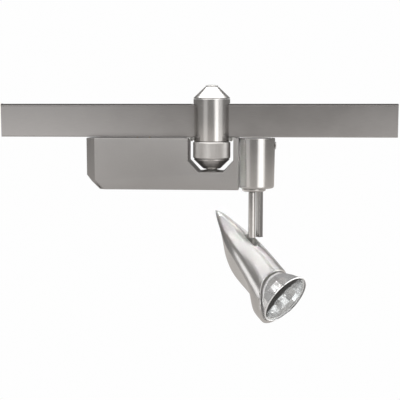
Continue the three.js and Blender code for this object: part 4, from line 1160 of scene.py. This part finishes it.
def add_floor():
    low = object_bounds()[0][2] - FLOOR_DROP
    half = FLOOR_HALF
    corners = [(-half, -half, low), (half, -half, low), (half, half, low), (-half, half, low)]
    mesh = mesh_from("floor", corners, [[0, 1, 2, 3]])
    floor = bpy.data.objects.new("floor", mesh)
    bpy.context.scene.collection.objects.link(floor)
    n = Nodes("floor_paper")
    output = n.tree.nodes["Material Output"]
    seen_or_reflected(n.tree, output, PAPER_WHITE, FLOOR_GREY, "ShaderNodeEmission")
    mesh.materials.append(n.material)
    floor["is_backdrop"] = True


bpy.context.scene.view_settings.view_transform = "Standard"
bpy.context.scene.view_settings.look = "None"
add_camera()
add_world()
add_floor()
# The upright and tilted panels stand this far from the object, in metres.
REACH = 1.1
UPRIGHT_TALL = 1.5
TILTED_SIZE = (0.7, 0.6)


def upright_panel(name, azimuth_deg, wide, radiance, tall=UPRIGHT_TALL, height=-0.05):
    """A panel standing round the object: azimuth 0 is in front, positive to the right."""
    turn = math.radians(azimuth_deg)
    location = (REACH * math.sin(turn), -REACH * math.cos(turn), height)
    return area_light(name, location, (wide, tall), radiance, (0.0, 0.0, height))


def tilted_panel(name, azimuth_deg, elevation_deg, radiance):
    """A panel aimed at the object from above or below the horizon."""
    turn, rise = math.radians(azimuth_deg), math.radians(elevation_deg)
    flat = REACH * math.cos(rise)
    location = (flat * math.sin(turn), -flat * math.cos(turn), REACH * math.sin(rise) + OBJECT_MIDDLE[2])
    return area_light(name, location, TILTED_SIZE, radiance)


def lights_only(light, prefixes):
    """The light reaches only the pieces whose names start with one of the prefixes."""
    group = bpy.data.collections.new(light.name + "_receivers")
    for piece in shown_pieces():
        if piece.name.startswith(prefixes):
            group.objects.link(piece)
    light.light_linking.receiver_collection = group


def shines_past(light, prefixes):
    """Pieces whose names start with one of the prefixes don't block the light."""
    group = bpy.data.collections.new(light.name + "_blockers")
    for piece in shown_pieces():
        if not piece.name.startswith(prefixes):
            group.objects.link(piece)
    light.light_linking.blocker_collection = group
    light.data.cycles.use_multiple_importance_sampling = False


ABOVE_HEAD = ("rail_", "clamp_", "cap_", "knurled_", "nut_", "housing_", "saddle_", "canopy_", "head_shell")
# Each overhead panel's place and size.
OVERHEAD = ((0.0, -0.1, 0.9), (1.9, 1.6))
HEAD_OVERHEAD = ((0.0, 0.15, 0.9), (2.6, 1.9))
# For each part of the object: the overhead panel and its radiance, the upright panels and the tilted panels.
# An upright panel is azimuth, width, radiance. A tilted one is azimuth, elevation, radiance.
LIGHTING = {
    "rail": (("rail_", "conductor_"), OVERHEAD, 0.0, [(-4, 0.50, 1.12), (52, 0.45, 0.75)], []),
    "box": (("housing_", "saddle_", "mounting_strap", "cover_screw"), OVERHEAD, 1.6,
            [(-38, 0.60, 0.78), (16, 0.36, 0.95)], [(-40, 45, 0.9), (0, 45, 1.1), (40, 45, 0.4)]),
    "clamp": (("clamp_", "cap_", "knurled_", "nut_", "thrust_"), OVERHEAD, 3.0,
              [(-36, 0.50, 0.42), (34, 0.44, 1.6), (60, 0.50, 0.5)],
              [(-40, 45, 1.0), (0, 45, 0.95), (40, 45, 1.2)]),
    "canopy": (("canopy_", "swivel_"), OVERHEAD, 1.2,
               [(-56, 0.55, 0.36), (24, 0.50, 1.5), (42, 0.40, 1.2)],
               [(0, 45, 0.7), (40, 45, 1.1), (0, -45, 0.7), (40, -45, 1.2)]),
    "stem": (("stem_", "wire_", "pivot_lug"), OVERHEAD, 0.0,
             [(-84, 0.40, 0.5), (34, 0.36, 1.3), (52, 0.36, 0.9), (66, 0.36, 0.6)], []),
    "head": (("head_", "holder_", "pivot_bracket", "pivot_pin"), HEAD_OVERHEAD, 1.25,
             [(100, 0.5, 0.5)], [(172, 20, 0.8)]),
    "lamp": (("lamp_",), OVERHEAD, 0.5,
             [(-42, 0.9, 1.4), (14, 0.6, 1.4), (58, 0.8, 1.9), (100, 0.8, 2.2), (135, 0.5, 1.2)],
             [(-90, 45, 1.8), (0, 45, 1.7), (-90, -45, 1.4), (90, -45, 2.2), (0, -45, 1.6)]),
}
for part, (prefixes, (above, size), overhead, upright, tilted) in LIGHTING.items():
    lights = []
    for i, (azimuth, wide, radiance) in enumerate(upright):
        lights.append(upright_panel(f"{part}_upright_{i}", azimuth, wide, radiance))
    for i, (azimuth, elevation, radiance) in enumerate(tilted):
        lights.append(tilted_panel(f"{part}_tilted_{i}", azimuth, elevation, radiance))
    if overhead:
        below = (above[0], above[1] + 0.01, OBJECT_MIDDLE[2])
        lights.append(area_light(f"{part}_overhead", above, size, overhead, below))
        if part in ("head", "lamp"):
            shines_past(lights[-1], ABOVE_HEAD)
    for light in lights:
        lights_only(light, prefixes)
lights_only(upright_panel("head_low_left", -68, 0.28, 1.7, 0.44, 0.02), ("head_",))
canopy_fill = upright_panel("canopy_fill", -118, 1.9, 0.62)
lights_only(canopy_fill, ("canopy_", "swivel_"))
shines_past(canopy_fill, ("housing_", "saddle_", "clamp_", "knurled_", "nut_"))
